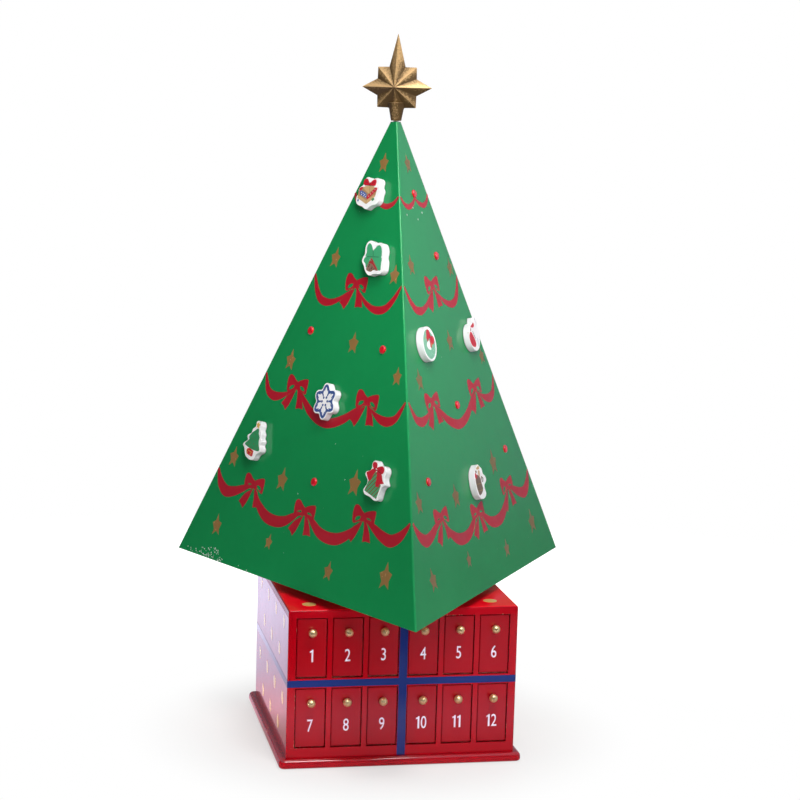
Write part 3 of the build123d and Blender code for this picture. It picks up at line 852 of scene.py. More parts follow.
def prism(loops: list[Outline], low: float, high: float, material: int = 0) -> Mesh:
    """A flat plate.

    Args:
        loops: its outline, and then its holes.
        low: height of its underside.
        high: height of its top.
        material: number of its material.

    Returns:
        The closed mesh.
    """
    curve = bpy.data.curves.new("outline", "CURVE")
    curve.dimensions = "2D"
    curve.fill_mode = "BOTH"
    curve.extrude = (high - low) / 2
    for loop in loops:
        spline = curve.splines.new("POLY")
        spline.points.add(len(loop) - 1)
        spline.points.foreach_set("co", [v for x, y in loop for v in (x, y, 0.0, 1.0)])
        spline.use_cyclic_u = True
    mesh = close(placed(filled(curve), Matrix.Translation((0, 0, (low + high) / 2))))
    mesh.polygons.foreach_set("material_index", [material] * len(mesh.polygons))
    mesh.polygons.foreach_set("use_smooth", [False] * len(mesh.polygons))
    return mesh


def joined(meshes: list[Mesh]) -> Mesh:
    """Several meshes as one, which uses them up.

    Args:
        meshes: the meshes.

    Returns:
        The whole mesh.
    """
    shell = bmesh.new()
    for mesh in meshes:
        shell.from_mesh(mesh)
        bpy.data.meshes.remove(mesh)
    return kept(shell, "joined")


def lathe(profile: list[Point], corners: int = 32) -> Mesh:
    """A turned piece about Z.

    Args:
        profile: radius and height, from one end on the axis to the other.
        corners: corners round the piece.

    Returns:
        The closed smooth mesh.
    """
    shell = bmesh.new()
    rings = []
    for radius, height in profile:
        if radius < WELD:
            rings.append([shell.verts.new((0, 0, height))])
        else:
            turns = [2 * pi * i / corners for i in range(corners)]
            rings.append([shell.verts.new((radius * cos(t), radius * sin(t), height)) for t in turns])
    for low, high in zip(rings, rings[1:]):
        for i in range(corners):
            after = (i + 1) % corners
            loop = [low[i % len(low)], low[after % len(low)], high[after % len(high)], high[i % len(high)]]
            shell.faces.new(list(dict.fromkeys(loop)))
    bmesh.ops.recalc_face_normals(shell, faces=shell.faces)
    for face in shell.faces:
        face.smooth = True
    return kept(shell, "turned")


def board(low: Triple, high: Triple, round_: float = 0.4, segments: int = 2) -> Mesh:
    """A square board with eased edges.

    Args:
        low: its lowest corner.
        high: its highest corner.
        round_: radius of the edges.
        segments: facets across each edge.

    Returns:
        The closed mesh.
    """
    shell = bmesh.new()
    bmesh.ops.create_cube(shell, size=1.0)
    for vert in shell.verts:
        vert.co = [a + (b - a) * (c + 0.5) for a, b, c in zip(low, high, vert.co)]
    bmesh.ops.bevel(shell, geom=shell.edges[:], offset=round_, segments=segments, profile=0.5,
                    affect="EDGES")
    return kept(shell, "board")


def smooth(mesh: Mesh, angle: float = 35.0) -> Mesh:
    """Shades a mesh smooth, but for edges sharper than the angle.

    Args:
        mesh: the mesh.
        angle: the angle in degrees.

    Returns:
        The same mesh.
    """
    mesh.polygons.foreach_set("use_smooth", [True] * len(mesh.polygons))
    mesh.set_sharp_from_angle(angle=radians(angle))
    return mesh


def evened(mesh: Mesh, angle: float = 60.0) -> Mesh:
    """Keeps flat faces flat to the eye beside their eased edges.

    Args:
        mesh: the mesh, shaded smooth.
        angle: faces that meet at more than this don't share their shading.

    Returns:
        The same mesh, each corner's normal weighed by the areas of the faces round it.
    """
    around = [[] for _ in mesh.vertices]
    for face in mesh.polygons:
        for corner in face.vertices:
            around[corner].append(face)
    limit, normals = cos(radians(angle)), []
    for face in mesh.polygons:
        for corner in face.vertices:
            near = [other for other in around[corner] if face.normal.dot(other.normal) > limit]
            normals.append(sum((other.normal * other.area for other in near), Vector()).normalized())
    mesh.normals_split_custom_set(normals)
    return mesh


def digit(sign: str, height: float, low: float, high: float) -> Mesh:
    """One plain digit as a flat plate, standing on height 0.

    Args:
        sign: the digit.
        height: how tall it stands.
        low: height of the plate's underside.
        high: height of its top.

    Returns:
        The closed mesh, with its left edge at 0.
    """
    if sign == "1":
        return prism([moved(DIGIT_ONE, 0, 0, 0, height)], low, high)
    curve = bpy.data.curves.new("digit", "FONT")
    curve.body = sign
    curve.size = height / DIGIT_CAP
    curve.extrude = (high - low) / 2
    curve.offset = DIGIT_WEIGHT
    curve.resolution_u = 6
    mesh = filled(curve)
    across, up, _ = zip(*(corner.co for corner in mesh.vertices))
    narrow = Matrix.Diagonal((DIGIT_NARROWING, height / (max(up) - min(up)), 1, 1))
    return close(placed(mesh, narrow @ Matrix.Translation((-min(across), -min(up), (low + high) / 2))))


def numeral(text: str, height: float, low: float, high: float, space: float = 0.13) -> Mesh:
    """A plain number as a flat plate, narrow, about its own middle.

    Args:
        text: the digits.
        height: how tall they stand.
        low: height of the plate's underside.
        high: height of its top.
        space: gap between digits, as a share of the height.

    Returns:
        The closed mesh.
    """
    meshes, end = [], 0.0
    for sign in text:
        mesh = placed(digit(sign, height, low, high), Matrix.Translation((end, 0, 0)))
        end = max(v.co.x for v in mesh.vertices) + space * height
        meshes.append(mesh)
    return placed(joined(meshes), Matrix.Translation(((space * height - end) / 2, -height / 2, 0)))


def piece(name: str, mesh: Mesh, finishes: list[Finish], body: str,
          stands_for: tuple[str, ...] = ()) -> bpy.types.Object:
    """Puts a finished mesh into the scene.

    Args:
        name: the piece's name.
        mesh: its mesh, in metres and in place.
        finishes: its finishes, by material number.
        body: the body that it moves with.
        stands_for: nodes that it is shown instead of.

    Returns:
        The new object.
    """
    mesh.name = name
    for index, finish in enumerate(finishes):
        if index < len(mesh.materials):
            mesh.materials[index] = finish.make()
        else:
            mesh.materials.append(finish.make())
    made = put(name, mesh)
    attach(made, body)
    if stands_for:
        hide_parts(*stands_for)
    LOG.info("%s: %d faces on %s", name, len(mesh.polygons), body)
    return made


def dress(node: str, finish: Finish) -> None:
    """Gives a solid that keeps its shape its finish."""
    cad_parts[node].material_slots[0].material = finish.make()
    LOG.info("%s: %s", node, finish.name)


# Geometry Nodes
class Growth(Sheet):
    """A Geometry Nodes tree that ends in one plain painted mesh."""

    @classmethod
    def start(cls, name: str, **inputs: str) -> "Growth":
        """Starts a tree that takes a mesh, a material and these inputs."""
        inputs = {"Geometry": "SHAPE", **inputs, "Material": "MATERIAL"}
        return cls.group(name, "GeometryNodeTree", inputs, {"Geometry": "SHAPE"})

    def first(self, kind: str, inputs: dict, **settings: object) -> Socket:
        """The first thing that a new node gives."""
        return self.add(kind, inputs, **settings).outputs[0]

    def stored(self, name: str) -> Socket:
        """A value that the mesh holds at each point."""
        return self.add("GeometryNodeInputNamedAttribute", {"Name": name}, data_type="FLOAT").outputs[0]

    def chance(self, low: Value, high: Value, seed: int) -> Socket:
        """A value drawn for each point."""
        return self.add("FunctionNodeRandomValue", {2: low, 3: high, "Seed": seed},
                        data_type="FLOAT").outputs[1]

    def stamped(self, points: Socket, turn: Value, size: Value) -> Socket:
        """The given stamp on every point.

        Args:
            points: the points' socket.
            turn: each stamp's turn in its own plane, in radians.
            size: each stamp's size in that plane.

        Returns:
            The stamps' socket.
        """
        stamp = self.add("GeometryNodeObjectInfo", {"Object": self.given["Stamp"]}).outputs["Geometry"]
        spin = self.first("ShaderNodeCombineXYZ", {"Z": turn})
        flat = self.first("ShaderNodeCombineXYZ", {"X": size, "Y": size, "Z": 1.0})
        inputs = {"Points": points, "Instance": stamp, "Rotation": spin, "Scale": flat}
        return self.first("GeometryNodeInstanceOnPoints", inputs)

    def end(self, shape: Socket) -> bpy.types.NodeTree:
        """Makes the shape one plain mesh in the given material, and ends the tree.

        Args:
            shape: the shape's socket.

        Returns:
            The tree.
        """
        plain = self.first("GeometryNodeRealizeInstances", {"Geometry": shape})
        inputs = {"Geometry": plain, "Material": self.given["Material"]}
        self.feed(self.result["Geometry"], self.first("GeometryNodeSetMaterial", inputs))
        return self.tree


@cache
def ribbon_tree() -> bpy.types.NodeTree:
    """A flat band of painted ribbon along each line of points, as wide as its `width` attribute says.

    Returns:
        The Geometry Nodes tree.
    """
    sheet = Growth.start("garland_ribbon", Step="VALUE", Thickness="VALUE")
    line = sheet.first("GeometryNodeMeshToCurve", {"Mesh": sheet.given["Geometry"]})
    line = sheet.first("GeometryNodeCurveSplineType", {"Curve": line}, spline_type="CATMULL_ROM")
    steps = {"Curve": line, "Length": sheet.given["Step"]}
    line = sheet.first("GeometryNodeResampleCurve", steps, mode="LENGTH")
    line = sheet.first("GeometryNodeSetCurveNormal", {"Curve": line}, mode="Z_UP")
    profile = sheet.first("GeometryNodeCurvePrimitiveLine", {"Start": (-0.5, 0, 0), "End": (0.5, 0, 0)})
    sweep = {"Curve": line, "Profile Curve": profile, "Scale": sheet.stored("width")}
    band = sheet.first("GeometryNodeCurveToMesh", sweep)
    lift = {"Mesh": band, "Offset": (0, 0, 1), "Individual": False,
            "Offset Scale": sheet.given["Thickness"]}
    raised = sheet.first("GeometryNodeExtrudeMesh", lift)
    both = sheet.add("GeometryNodeJoinGeometry")
    for part in (raised, band):
        sheet.feed(both.inputs[0], part)
    return sheet.end(sheet.first("GeometryNodeMergeByDistance",
                                 {"Geometry": both.outputs[0], "Distance": WELD}))


@cache
def stamp_tree() -> bpy.types.NodeTree:
    """One painted shape stamped at every point, by the points' `turn` and `size` attributes."""
    sheet = Growth.start("stamped_paint", Stamp="OBJECT")
    return sheet.end(sheet.stamped(sheet.given["Geometry"], sheet.stored("turn"), sheet.stored("size")))


@cache
def scuff_tree() -> bpy.types.NodeTree:
    """Small flecks scattered over a patch, thicker where its `worn` attribute is high.

    Returns:
        The Geometry Nodes tree.
    """
    sheet = Growth.start("scattered_flecks", Stamp="OBJECT", Density="VALUE", Seed="COUNT",
                         Smallest="VALUE", Largest="VALUE")
    density = sheet.times(sheet.stored("worn"), sheet.given["Density"])
    patch = {"Mesh": sheet.given["Geometry"], "Density": density, "Seed": sheet.given["Seed"]}
    points = sheet.first("GeometryNodeDistributePointsOnFaces", patch)
    size = sheet.chance(sheet.given["Smallest"], sheet.given["Largest"], 9)
    return sheet.end(sheet.stamped(points, sheet.chance(0.0, 2 * pi, 5), size))


def grown(host_mesh: Mesh, tree: bpy.types.NodeTree, inputs: dict, stamp: Mesh | None = None) -> Mesh:
    """Runs a node tree on a mesh and keeps the plain result.

    Args:
        host_mesh: the points, lines or faces that the tree starts from.
        tree: the Geometry Nodes tree.
        inputs: values of the tree's named inputs.
        stamp: the shape that the tree copies, if it copies one.

    Returns:
        The plain mesh.
    """
    helpers = [put("host", host_mesh)]
    if stamp:
        helpers.append(put("stamp", stamp))
        inputs = {**inputs, "Stamp": helpers[1]}
    modifier = helpers[0].modifiers.new("tree", "NODES")
    modifier.node_group = tree
    for item in tree.interface.items_tree:
        if item.in_out == "INPUT" and item.name in inputs:
            modifier[item.identifier] = inputs[item.name]
    graph = bpy.context.evaluated_depsgraph_get()
    mesh = bpy.data.meshes.new_from_object(helpers[0].evaluated_get(graph))
    for helper in helpers:
        used = helper.data
        bpy.data.objects.remove(helper)
        bpy.data.meshes.remove(used)
    return mesh


def marked(mesh: Mesh, name: str, values: list[float]) -> Mesh:
    """Stores a value at each corner of a mesh."""
    mesh.attributes.new(name, "FLOAT", "POINT").data.foreach_set("value", values)
    return mesh


def ribbons(lines: list[list[Triple]], low: float, high: float, finish: Finish) -> Mesh:
    """Painted ribbons along lines.

    Args:
        lines: for each ribbon, places across and up and the width there.
        low: height of the paint's underside.
        high: height of its top.
        finish: the paint.

    Returns:
        The flat mesh.
    """
    corners = [(x, y, low) for line in lines for x, y, _ in line]
    edges, start = [], 0
    for line in lines:
        edges += [(start + i, start + i + 1) for i in range(len(line) - 1)]
        start += len(line)
    host = bpy.data.meshes.new("ribbon_lines")
    host.from_pydata(corners, edges, [])
    marked(host, "width", [width for line in lines for _, _, width in line])
    inputs = {"Step": RIBBON_STEP, "Thickness": high - low, "Material": finish.make()}
    return smooth(close(grown(host, ribbon_tree(), inputs)), 40)


def stamps(shape: Mesh, places: list[Place], finish: Finish) -> Mesh:
    """One flat shape, painted at several places.

    Args:
        shape: the shape about its own middle.
        places: for each copy, its place across and up, its turn in degrees and its size.
        finish: the paint.

    Returns:
        The flat mesh.
    """
    host = bpy.data.meshes.new("stamp_places")
    host.from_pydata([(x, y, 0) for x, y, _, _ in places], [], [])
    marked(host, "turn", [radians(turn) for _, _, turn, _ in places])
    marked(host, "size", [size for _, _, _, size in places])
    return grown(host, stamp_tree(), {"Material": finish.make()}, shape)


# Cabinet
@dataclass
class Cabinet:
    """The red cabinet: its boards' paint, the painted ribbon round it and the gold dots."""

    half: float = 115.0
    top: float = 158.0
    foot: float = 9.0
    corner: float = 1.2
    top_round: float = 2.0
    paint: float = 0.12
    ribbon_low: float = 80.6
    ribbon_high: float = 87.7
    ribbon_half: float = 4.15
    overlap: float = 1.3
    foot_gap: float = 0.02
    bends: int = 6
    plate_half: float = 50.6
    dot: float = 6.85
    dot_inset: float = 91.5
    dot_rows: tuple[float, ...] = (139.0, 105.0, 62.0, 29.0)
    dot_columns: tuple[tuple[float, ...], ...] = ((-84.0, -28.0, 28.0, 84.0), (-56.0, 0.0, 56.0))

    def build(self) -> None:
        """Makes the painted pieces."""
        self.level_ribbon()
        self.upright_ribbon()
        self.dots()

    def level_ribbon(self) -> None:
        """The ribbon that goes round all four sides, over the shelf's edge."""
        ring = self.rounded(self.half + self.paint, self.corner + self.paint)
        inner = self.rounded(self.half - self.paint, self.corner)
        mesh = placed(prism([ring, inner], self.ribbon_low, self.ribbon_high), TO_METRES)
        piece("level_ribbon", smooth(mesh), [RIBBON_BLUE], "cabinet")

    def rounded(self, half: float, radius: float) -> Outline:
        """A square outline with round corners.

        Args:
            half: half the square's width.
            radius: radius of the corners.

        Returns:
            The closed outline.
        """
        points, flat = [], half - radius
        for quarter, (sx, sy) in enumerate(((1, 1), (-1, 1), (-1, -1), (1, -1))):
            for i in range(self.bends + 1):
                angle = pi / 2 * (quarter + i / self.bends)
                points.append((sx * flat + radius * cos(angle), sy * flat + radius * sin(angle)))
        return points

    def upright_ribbon(self) -> None:
        """The ribbon that goes up the front and the back and over the top, up to the turntable."""
        def path(off: float) -> Outline:
            """Foot to turntable, off the cabinet's skin.

            Args:
                off: distance off the skin.

            Returns:
                The open line.
            """
            points = [(-self.half - off, self.foot + self.foot_gap)]
            reach, out, up = self.top_round + off, self.top_round - self.half, self.top - self.top_round
            for i in range(self.bends + 1):
                angle = pi / 2 * i / self.bends
                points.append((out - reach * cos(angle), up + reach * sin(angle)))
            return points + [(-self.plate_half, self.top + off)]

        loop = path(self.paint * self.overlap) + path(-self.paint)[::-1]
        stand = Matrix(((0, 0, 1, 0), (1, 0, 0, 0), (0, 1, 0, 0), (0, 0, 0, 1)))
        front = placed(prism([loop], -self.ribbon_half, self.ribbon_half), stand)
        back = placed(front.copy(), Matrix.Rotation(pi, 4, "Z"))
        mesh = close(placed(joined([front, back]), TO_METRES), WELD * MM)
        piece("upright_ribbon", smooth(mesh), [RIBBON_BLUE], "cabinet")

    def dots(self) -> None:
        """Gold dots: one in each corner of the top, and staggered rows on the two plain sides."""
        def stamped(places: list[Point]) -> Mesh:
            """Dots on a flat side."""
            flat = prism([disc(0, 0, self.dot, 40)], -self.paint, self.paint)
            return stamps(flat, [(x, y, 0.0, 1.0) for x, y in places], DOT_GOLD)

        inset = self.dot_inset
        top = stamped([(x, y) for x in (-inset, inset) for y in (-inset, inset)])
        sides = [placed(top, Matrix.Translation((0, 0, self.top)))]
        for hand in (-1, 1):
            places = [(y, z) for i, z in enumerate(self.dot_rows) for y in self.dot_columns[i % 2]]
            stand = Matrix(((0, 0, hand, hand * self.half), (hand, 0, 0, 0), (0, 1, 0, 0), (0, 0, 0, 1)))
            sides.append(placed(stamped(places), stand))
        mesh = placed(joined(sides), TO_METRES)
        piece("gold_dots", smooth(mesh), [DOT_GOLD], "cabinet")

    def dress(self) -> None:
        """Paints the boards and plates the metal."""
        worn = {"plinth": (3.2, 1.0), "cabinet_top": (1.2, 0.6), "cabinet_floor": (0.8, 0.4),
                "cabinet_left_side": (0.8, 0.5), "cabinet_right_side": (0.8, 0.5)}
        for node, (reach, cover) in worn.items():
            low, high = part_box(node)
            edges = BoardEdges(tuple((low + high) / 2), tuple((high - low) / 2))
            # The top board takes the red with painted light on its upper face.
            red = TOP_RED_PAINTED_LIGHT if node == "cabinet_top" else CABINET_RED
            dress(node, replace(red, name=f"{node}_red", edges=edges, chip_reach=reach, chip_cover=cover))
        for node in ("middle_shelf", "drawer_dividers", "centre_posts"):
            dress(node, CABINET_RED)
        dress("drawer_stops", BIRCH_FLAT)
        for node in ("plinth_screws", "turntable_lower_plate", "turntable_lower_screws", "turntable_balls"):
            dress(node, ZINC)


# Drawers
@dataclass
class Drawers:
    """Twenty-four drawers: painted front with its number, bare box and turned brass knob."""

    count: int = 24
    columns: tuple[float, ...] = (-91.583, -55.75, -19.917, 19.917, 55.75, 91.583)
    floors: tuple[float, float] = (89.5, 19.0)
    cabinet_half: float = 115.0
    half: float = 14.817
    low: float = 0.2
    front_low: float = 1.0
    high: float = 59.7
    face: float = 0.8
    inner: float = 6.8
    end: float = 111.7
    board_t: float = 3.0
    side_top: float = 53.7
    floor_top: float = 3.2
    front_round: float = 0.9
    knob_height: float = 46.6
    collar: float = 1.5
    number_height: float = 22.5
    number_size: float = 12.4
    paint: float = 0.06
    ball: float = 4.2
    ball_middle: float = 5.8
    ball_steps: int = 14

    def knob_profile(self) -> list[Point]:
        """Half outline of the knob: collar, waist and ball, from the drawer's face outwards.

        Returns:
            Radius and height of each point.
        """
        collar = [(0.0, -0.2), (2.7, -0.2), (2.8, 0.0), (2.8, 0.5), (2.68, 0.82), (2.35, 1.0)]
        waist = [(2.08, 1.12), (1.96, 1.4), (1.96, 1.75), (2.03, 2.02)]
        turns = [radians(-60 + 150 * i / self.ball_steps) for i in range(self.ball_steps)]
        ball = [(self.ball * cos(t), self.ball_middle + self.ball * sin(t)) for t in turns]
        return collar + waist + ball + [(0.0, self.ball_middle + self.ball)]

    def place(self, number: int) -> Matrix:
        """From a drawer's own frame, with its face towards -Y, to the cabinet's.

        Args:
            number: the drawer's number, from 1.

        Returns:
            The matrix, in millimetres.
        """
        row, column = divmod(number - 1, len(self.columns))
        side, row = divmod(row, len(self.floors))
        turn = Matrix.Rotation(pi * side, 4, "Z")
        return turn @ Matrix.Translation((self.columns[column], -self.cabinet_half, self.floors[row]))

    def on_face(self, height: float) -> Matrix:
        """From a flat place to the drawer's face, so high up."""
        return Matrix.Translation((0, self.face, height)) @ Matrix.Rotation(pi / 2, 4, "X")

    def front(self) -> Mesh:
        """The front board, rounded on its face, with its own frame kept as `local`.

        Returns:
            The mesh, in the drawer's own frame.
        """
        mesh = board((-self.half, self.face, self.front_low), (self.half, self.inner, self.high),
                     self.front_round, 3)
        middle = Vector((0, (self.face + self.inner) / 2, (self.front_low + self.high) / 2))
        local = mesh.attributes.new("local", "FLOAT_VECTOR", "POINT")
        local.data.foreach_set("vector", [v * MM for corner in mesh.vertices for v in corner.co - middle])
        return evened(smooth(mesh, 50))

    def box(self) -> Mesh:
        """The bare box behind the front: floor, two sides and back.

        Returns:
            The mesh, in the drawer's own frame.
        """
        half, t = self.half, self.board_t
        boards = [board((-half, self.inner, self.low), (half, self.end, self.floor_top))]
        for hand in (-1, 1):
            low, high = sorted((hand * half, hand * (half - t)))
            boards.append(board((low, self.inner, self.floor_top), (high, self.end, self.side_top)))
        boards.append(board((-half + t, self.end - t, self.floor_top), (half - t, self.end, self.side_top)))
        return evened(smooth(joined(boards), 50))

    def knob(self) -> Mesh:
        """The turned knob, on the drawer's face, with its collar in a dark red that stands in for shade.

        Returns:
            The mesh, in the drawer's own frame.
        """
        mesh = lathe(self.knob_profile())
        for face in mesh.polygons:
            face.material_index = int(face.center.z < self.collar)
        return smooth(placed(mesh, self.on_face(self.knob_height)), 40)

    def number(self, number: int) -> Mesh:
        """The painted number on the drawer's face."""
        mesh = numeral(str(number), self.number_size, -self.paint, self.paint)
        return placed(mesh, self.on_face(self.number_height))

    def build(self) -> None:
        """Makes the pieces of every drawer."""
        half = (self.half * MM, (self.inner - self.face) / 2 * MM, (self.high - self.front_low) / 2 * MM)
        # The dark band round each front is painted shade in the gap round the drawer.
        red = replace(DRAWER_RED, name="drawer_front_red", edges=BoardEdges((0, 0, 0), half, local=True),
                      rim=0.6, chip_reach=0.5, chip_cover=0.3, bare=(0.3, 0.05, 0.05))
        for number in range(1, self.count + 1):
            body = f"drawer_{number:02d}"
            place = TO_METRES @ self.place(number)
            parts = (("front", self.front(), [red], "red_paint"), ("box", self.box(), [BIRCH], "bare_wood"),
                     ("knob", self.knob(), [BRASS, SHADED_COLLAR_RED], ""),
                     ("number", self.number(number), [NUMBER_WHITE], ""))
            for part, mesh, finishes, slot in parts:
                shown_for = (body,) if part == "front" else ()
                piece(f"{body}_{part}", placed(mesh, place), finishes, body, shown_for)


# Tree
class Side(Enum):
    """The tree's faces, each by its turn about the upright in degrees."""

    LEFT = -63.6
    RIGHT = 56.4
    BACK = 176.4


class Stud(Enum):
    """Places of the studs on a face: share of the half width across, and share of the slope up."""

    TIP = (0.0, 0.846)
    UPPER = (0.402, 0.71)
    MIDDLE_LEFT = (-0.578, 0.537)
    MIDDLE_RIGHT = (0.648, 0.5255)
    CENTRE = (0.0155, 0.392)
    LOWER_LEFT = (-0.711, 0.264)
    LOWER_RIGHT = (0.711, 0.263)
    LOW = (0.031, 0.2265)


@dataclass
class Tree:
    """The three-sided tree: lacquered panels with painted garlands, stars and small scuffs."""

    side: float = 416.0
    top_side: float = 12.0
    height: float = 462.0
    foot: float = 167.0
    paint_low: float = -0.05
    ribbon_high: float = 0.06
    bow_high: float = 0.09
    star_high: float = 0.08
    bows: tuple[Point, ...] = ((0, 309), (-59.5, 197), (59.5, 197), (-95, 87.5), (95, 87.5), (0, 76))
    swags: tuple[tuple[Triple, ...], ...] = (
        ((0.5, 398.5, 2.6), (8, 393.6, 4.8), (20, 390.7, 5.6), (30, 394.4, 4.8), (36, 401.6, 2.4)),
        ((4, 304, 2.2), (14.1, 297.6, 3.2), (22.7, 292.3, 5), (34, 288.2, 6.6), (45, 287.4, 8.2),
         (55.9, 290.9, 7.9), (65.1, 301, 6), (72.2, 314.4, 2.4)),
        ((63, 193, 2), (71.1, 189.4, 3), (79.3, 185.6, 5.8), (89.5, 182.9, 8.7), (98.6, 182.9, 9.4),
         (108, 186.9, 7.8), (113.9, 195.6, 5), (118.3, 204.8, 2.2)),
        ((99, 86, 2.4), (106, 84.2, 5), (115.6, 80.3, 8), (128.5, 75.6, 10.4), (142.5, 73.7, 12.2),
         (153.9, 79.4, 10.6), (161.6, 88.4, 6), (165, 95, 2.4)),
        ((4, 73, 2.4), (9.5, 72.8, 4.4), (17.2, 68.4, 7.6), (30.6, 61.3, 10.6), (46, 58.7, 11.8),
         (62.5, 60.6, 11.8), (77.2, 68, 9.4), (86.5, 76.5, 5), (92, 82.5, 2.4)),
    )
    middle_swag: tuple[Triple, ...] = ((55, 194, 2.4), (48.5, 189.6, 4), (40, 183, 7), (29.5, 176, 9),
                                       (14, 169.8, 9.8))
    middle_low: Triple = (0, 167.6, 9.8)
    stars: tuple[Triple, ...] = (
        (0, 434, 11), (-44, 333, 11.6), (57.5, 324, 11), (17, 251, 12), (-81, 222, 12), (97, 227, 10),
        (-142, 110, 12), (-49, 101, 13.3), (69, 117, 14.4), (-145, 36, 12.5), (-48, 36.5, 9),
        (59, 27.5, 10.5), (147, 40, 14.4))
    star_leans: tuple[float, ...] = (3, -5, 4, 2, -3, 6, -4, -2, 1, 5, -6, -3, 4)
    brushed: tuple[Point, ...] = ((0, 1), (-0.19, 0.41), (-0.65, 0.2), (-0.34, -0.33), (-0.48, -0.82),
                                  (0.02, -0.47), (0.49, -0.78), (0.4, -0.28), (0.64, 0.24), (0.2, 0.4))
    bow_step: float = 0.004
    scuff_high: float = 0.05
    fleck: tuple[Point, ...] = ((-1, -0.3), (-0.2, -0.9), (0.8, -0.5), (0.9, 0.3), (0.2, 0.9), (-0.7, 0.6))
    fleck_density: float = 0.15
    fleck_sizes: Point = (0.34, 0.78)
    fleck_seed: int = 11
    fleck_fade: float = 0.7
    left_nicks: tuple[Place, ...] = ((52.7, 118.2, 30, 0.7), (-17.6, 92, 80, 0.7), (-8.2, 58.7, 140, 0.6),
                                     (25, 150, 60, 0.5))
    right_nicks: tuple[Place, ...] = ((-28.1, 383.3, 80, 1.1), (12.1, 383.5, 100, 1.3),
                                      (-1.9, 377.5, 70, 0.9), (-8.9, 389.5, 90, 0.8))

    @property
    def inradius(self) -> float:
        """Distance from the upright to the middle of a face's foot."""
        return self.side / (2 * sqrt(3))

    @property
    def tilt(self) -> float:
        """How far a face leans back, in radians."""
        return atan((self.side - self.top_side) / (2 * sqrt(3)) / self.height)

    @property
    def slant(self) -> float:
        """Length of a face up its slope."""
        return self.height / cos(self.tilt)

    def axes(self, side: Side) -> tuple[Vector, Vector, Vector, Vector]:
        """A face's own directions.

        Args:
            side: the face.

        Returns:
            Across, up the slope, off the face, and the middle of its foot.
        """
        turn = radians(side.value)
        out, across = Vector((sin(turn), -cos(turn), 0)), Vector((cos(turn), sin(turn), 0))
        up = Vector((0, 0, 1))
        slope = up * cos(self.tilt) - out * sin(self.tilt)
        normal = out * cos(self.tilt) + up * sin(self.tilt)
        return across, slope, normal, out * self.inradius + up * self.foot

    def place(self, side: Side) -> Matrix:
        """From across, up and off a face, in millimetres, to the object's frame in metres.

        Args:
            side: the face.

        Returns:
            The matrix.
        """
        columns = [axis.to_4d() for axis in self.axes(side)]
        for axis in columns[:3]:
            axis.w = 0.0
        return TO_METRES @ Matrix(columns).transposed()

    def stud(self, stud: Stud) -> Point:
        """Where a stud stands, across and up a face."""
        across, up = stud.value
        return across * (self.side + (self.top_side - self.side) * up) / 2, up * self.slant

    def bow(self) -> Mesh:
        """A painted bow about its knot: two open loops and two notched tails.

        Returns:
            The flat mesh, in millimetres.
        """
        left = soft([(-1, 5), (-5.6, 7.3), (-9.3, 10), (-14, 11.2), (-17.5, 9.1), (-18.2, 3.2),
                     (-17.4, -1.4), (-16.2, -5.5), (-13.3, -7.2), (-7, -4.6), (-1.6, -3.6), (1.2, -2.4),
                     (1.4, 2.6)])
        left_hole = soft([(-12.4, -4.6), (-12.2, -1.2), (-9.2, 0.5), (-5, 0.7), (-6.5, -2.5)])
        right = soft([(0.7, 5.2), (5.5, 7.3), (12.3, 9.1), (16.3, 9), (17.4, 5.2), (17.5, -0.4),
                      (16.6, -6.5), (9.6, -4), (6.1, -2.6), (1.4, -3.4), (-1.4, -2), (-1.2, 2.6)])
        right_hole = soft([(4.8, 0.4), (8.6, 1.1), (12.6, -0.7), (13.4, -3.3), (8.3, -2.7)])
        left_tail = [(-0.6, -2.5), (-3.4, -5.2), (-7.6, -7.4), (-12.6, -10.3), (-17, -15), (-21, -20),
                     (-16.3, -21.9), (-11.7, -26), (-7.5, -20.5), (-4, -13), (-1, -5)]
        right_tail = [(0.8, -2.4), (2.5, -5), (4.5, -12.5), (5.7, -22.5), (10.8, -21.2), (18, -21.5),
                      (14, -13.3), (8.6, -6.2), (4, -2.4)]
        loops = ([left, left_hole], [right, right_hole], [left_tail], [right_tail])
        return joined([prism(list(loop), self.paint_low, self.bow_high + self.bow_step * i)
                       for i, loop in enumerate(loops)])

    def garland(self) -> Mesh:
        """Garlands of one face: swags, and bows where they are gathered.

        Returns:
            The flat mesh, in millimetres.
        """
        lines = [[*line] for line in self.swags]
        lines += [[(-x, y, w) for x, y, w in line] for line in self.swags]
        right = list(self.middle_swag)
        lines.append([(-x, y, w) for x, y, w in right] + [self.middle_low] + right[::-1])
        swags = ribbons(lines, self.paint_low, self.ribbon_high, GARLAND_RED)
        bows = stamps(self.bow(), [(x, y, 0.0, 1.0) for x, y in self.bows], GARLAND_RED)
        return joined([swags, bows])

    def star_field(self) -> Mesh:
        """Gold stars of one face, each a little uneven as if brushed.

        Returns:
            The flat mesh, in millimetres.
        """
        shape = prism([self.brushed], self.paint_low, self.star_high)
        places = [(x, y, lean, size) for (x, y, size), lean in zip(self.stars, self.star_leans)]
        return stamps(shape, places, STAR_GOLD)

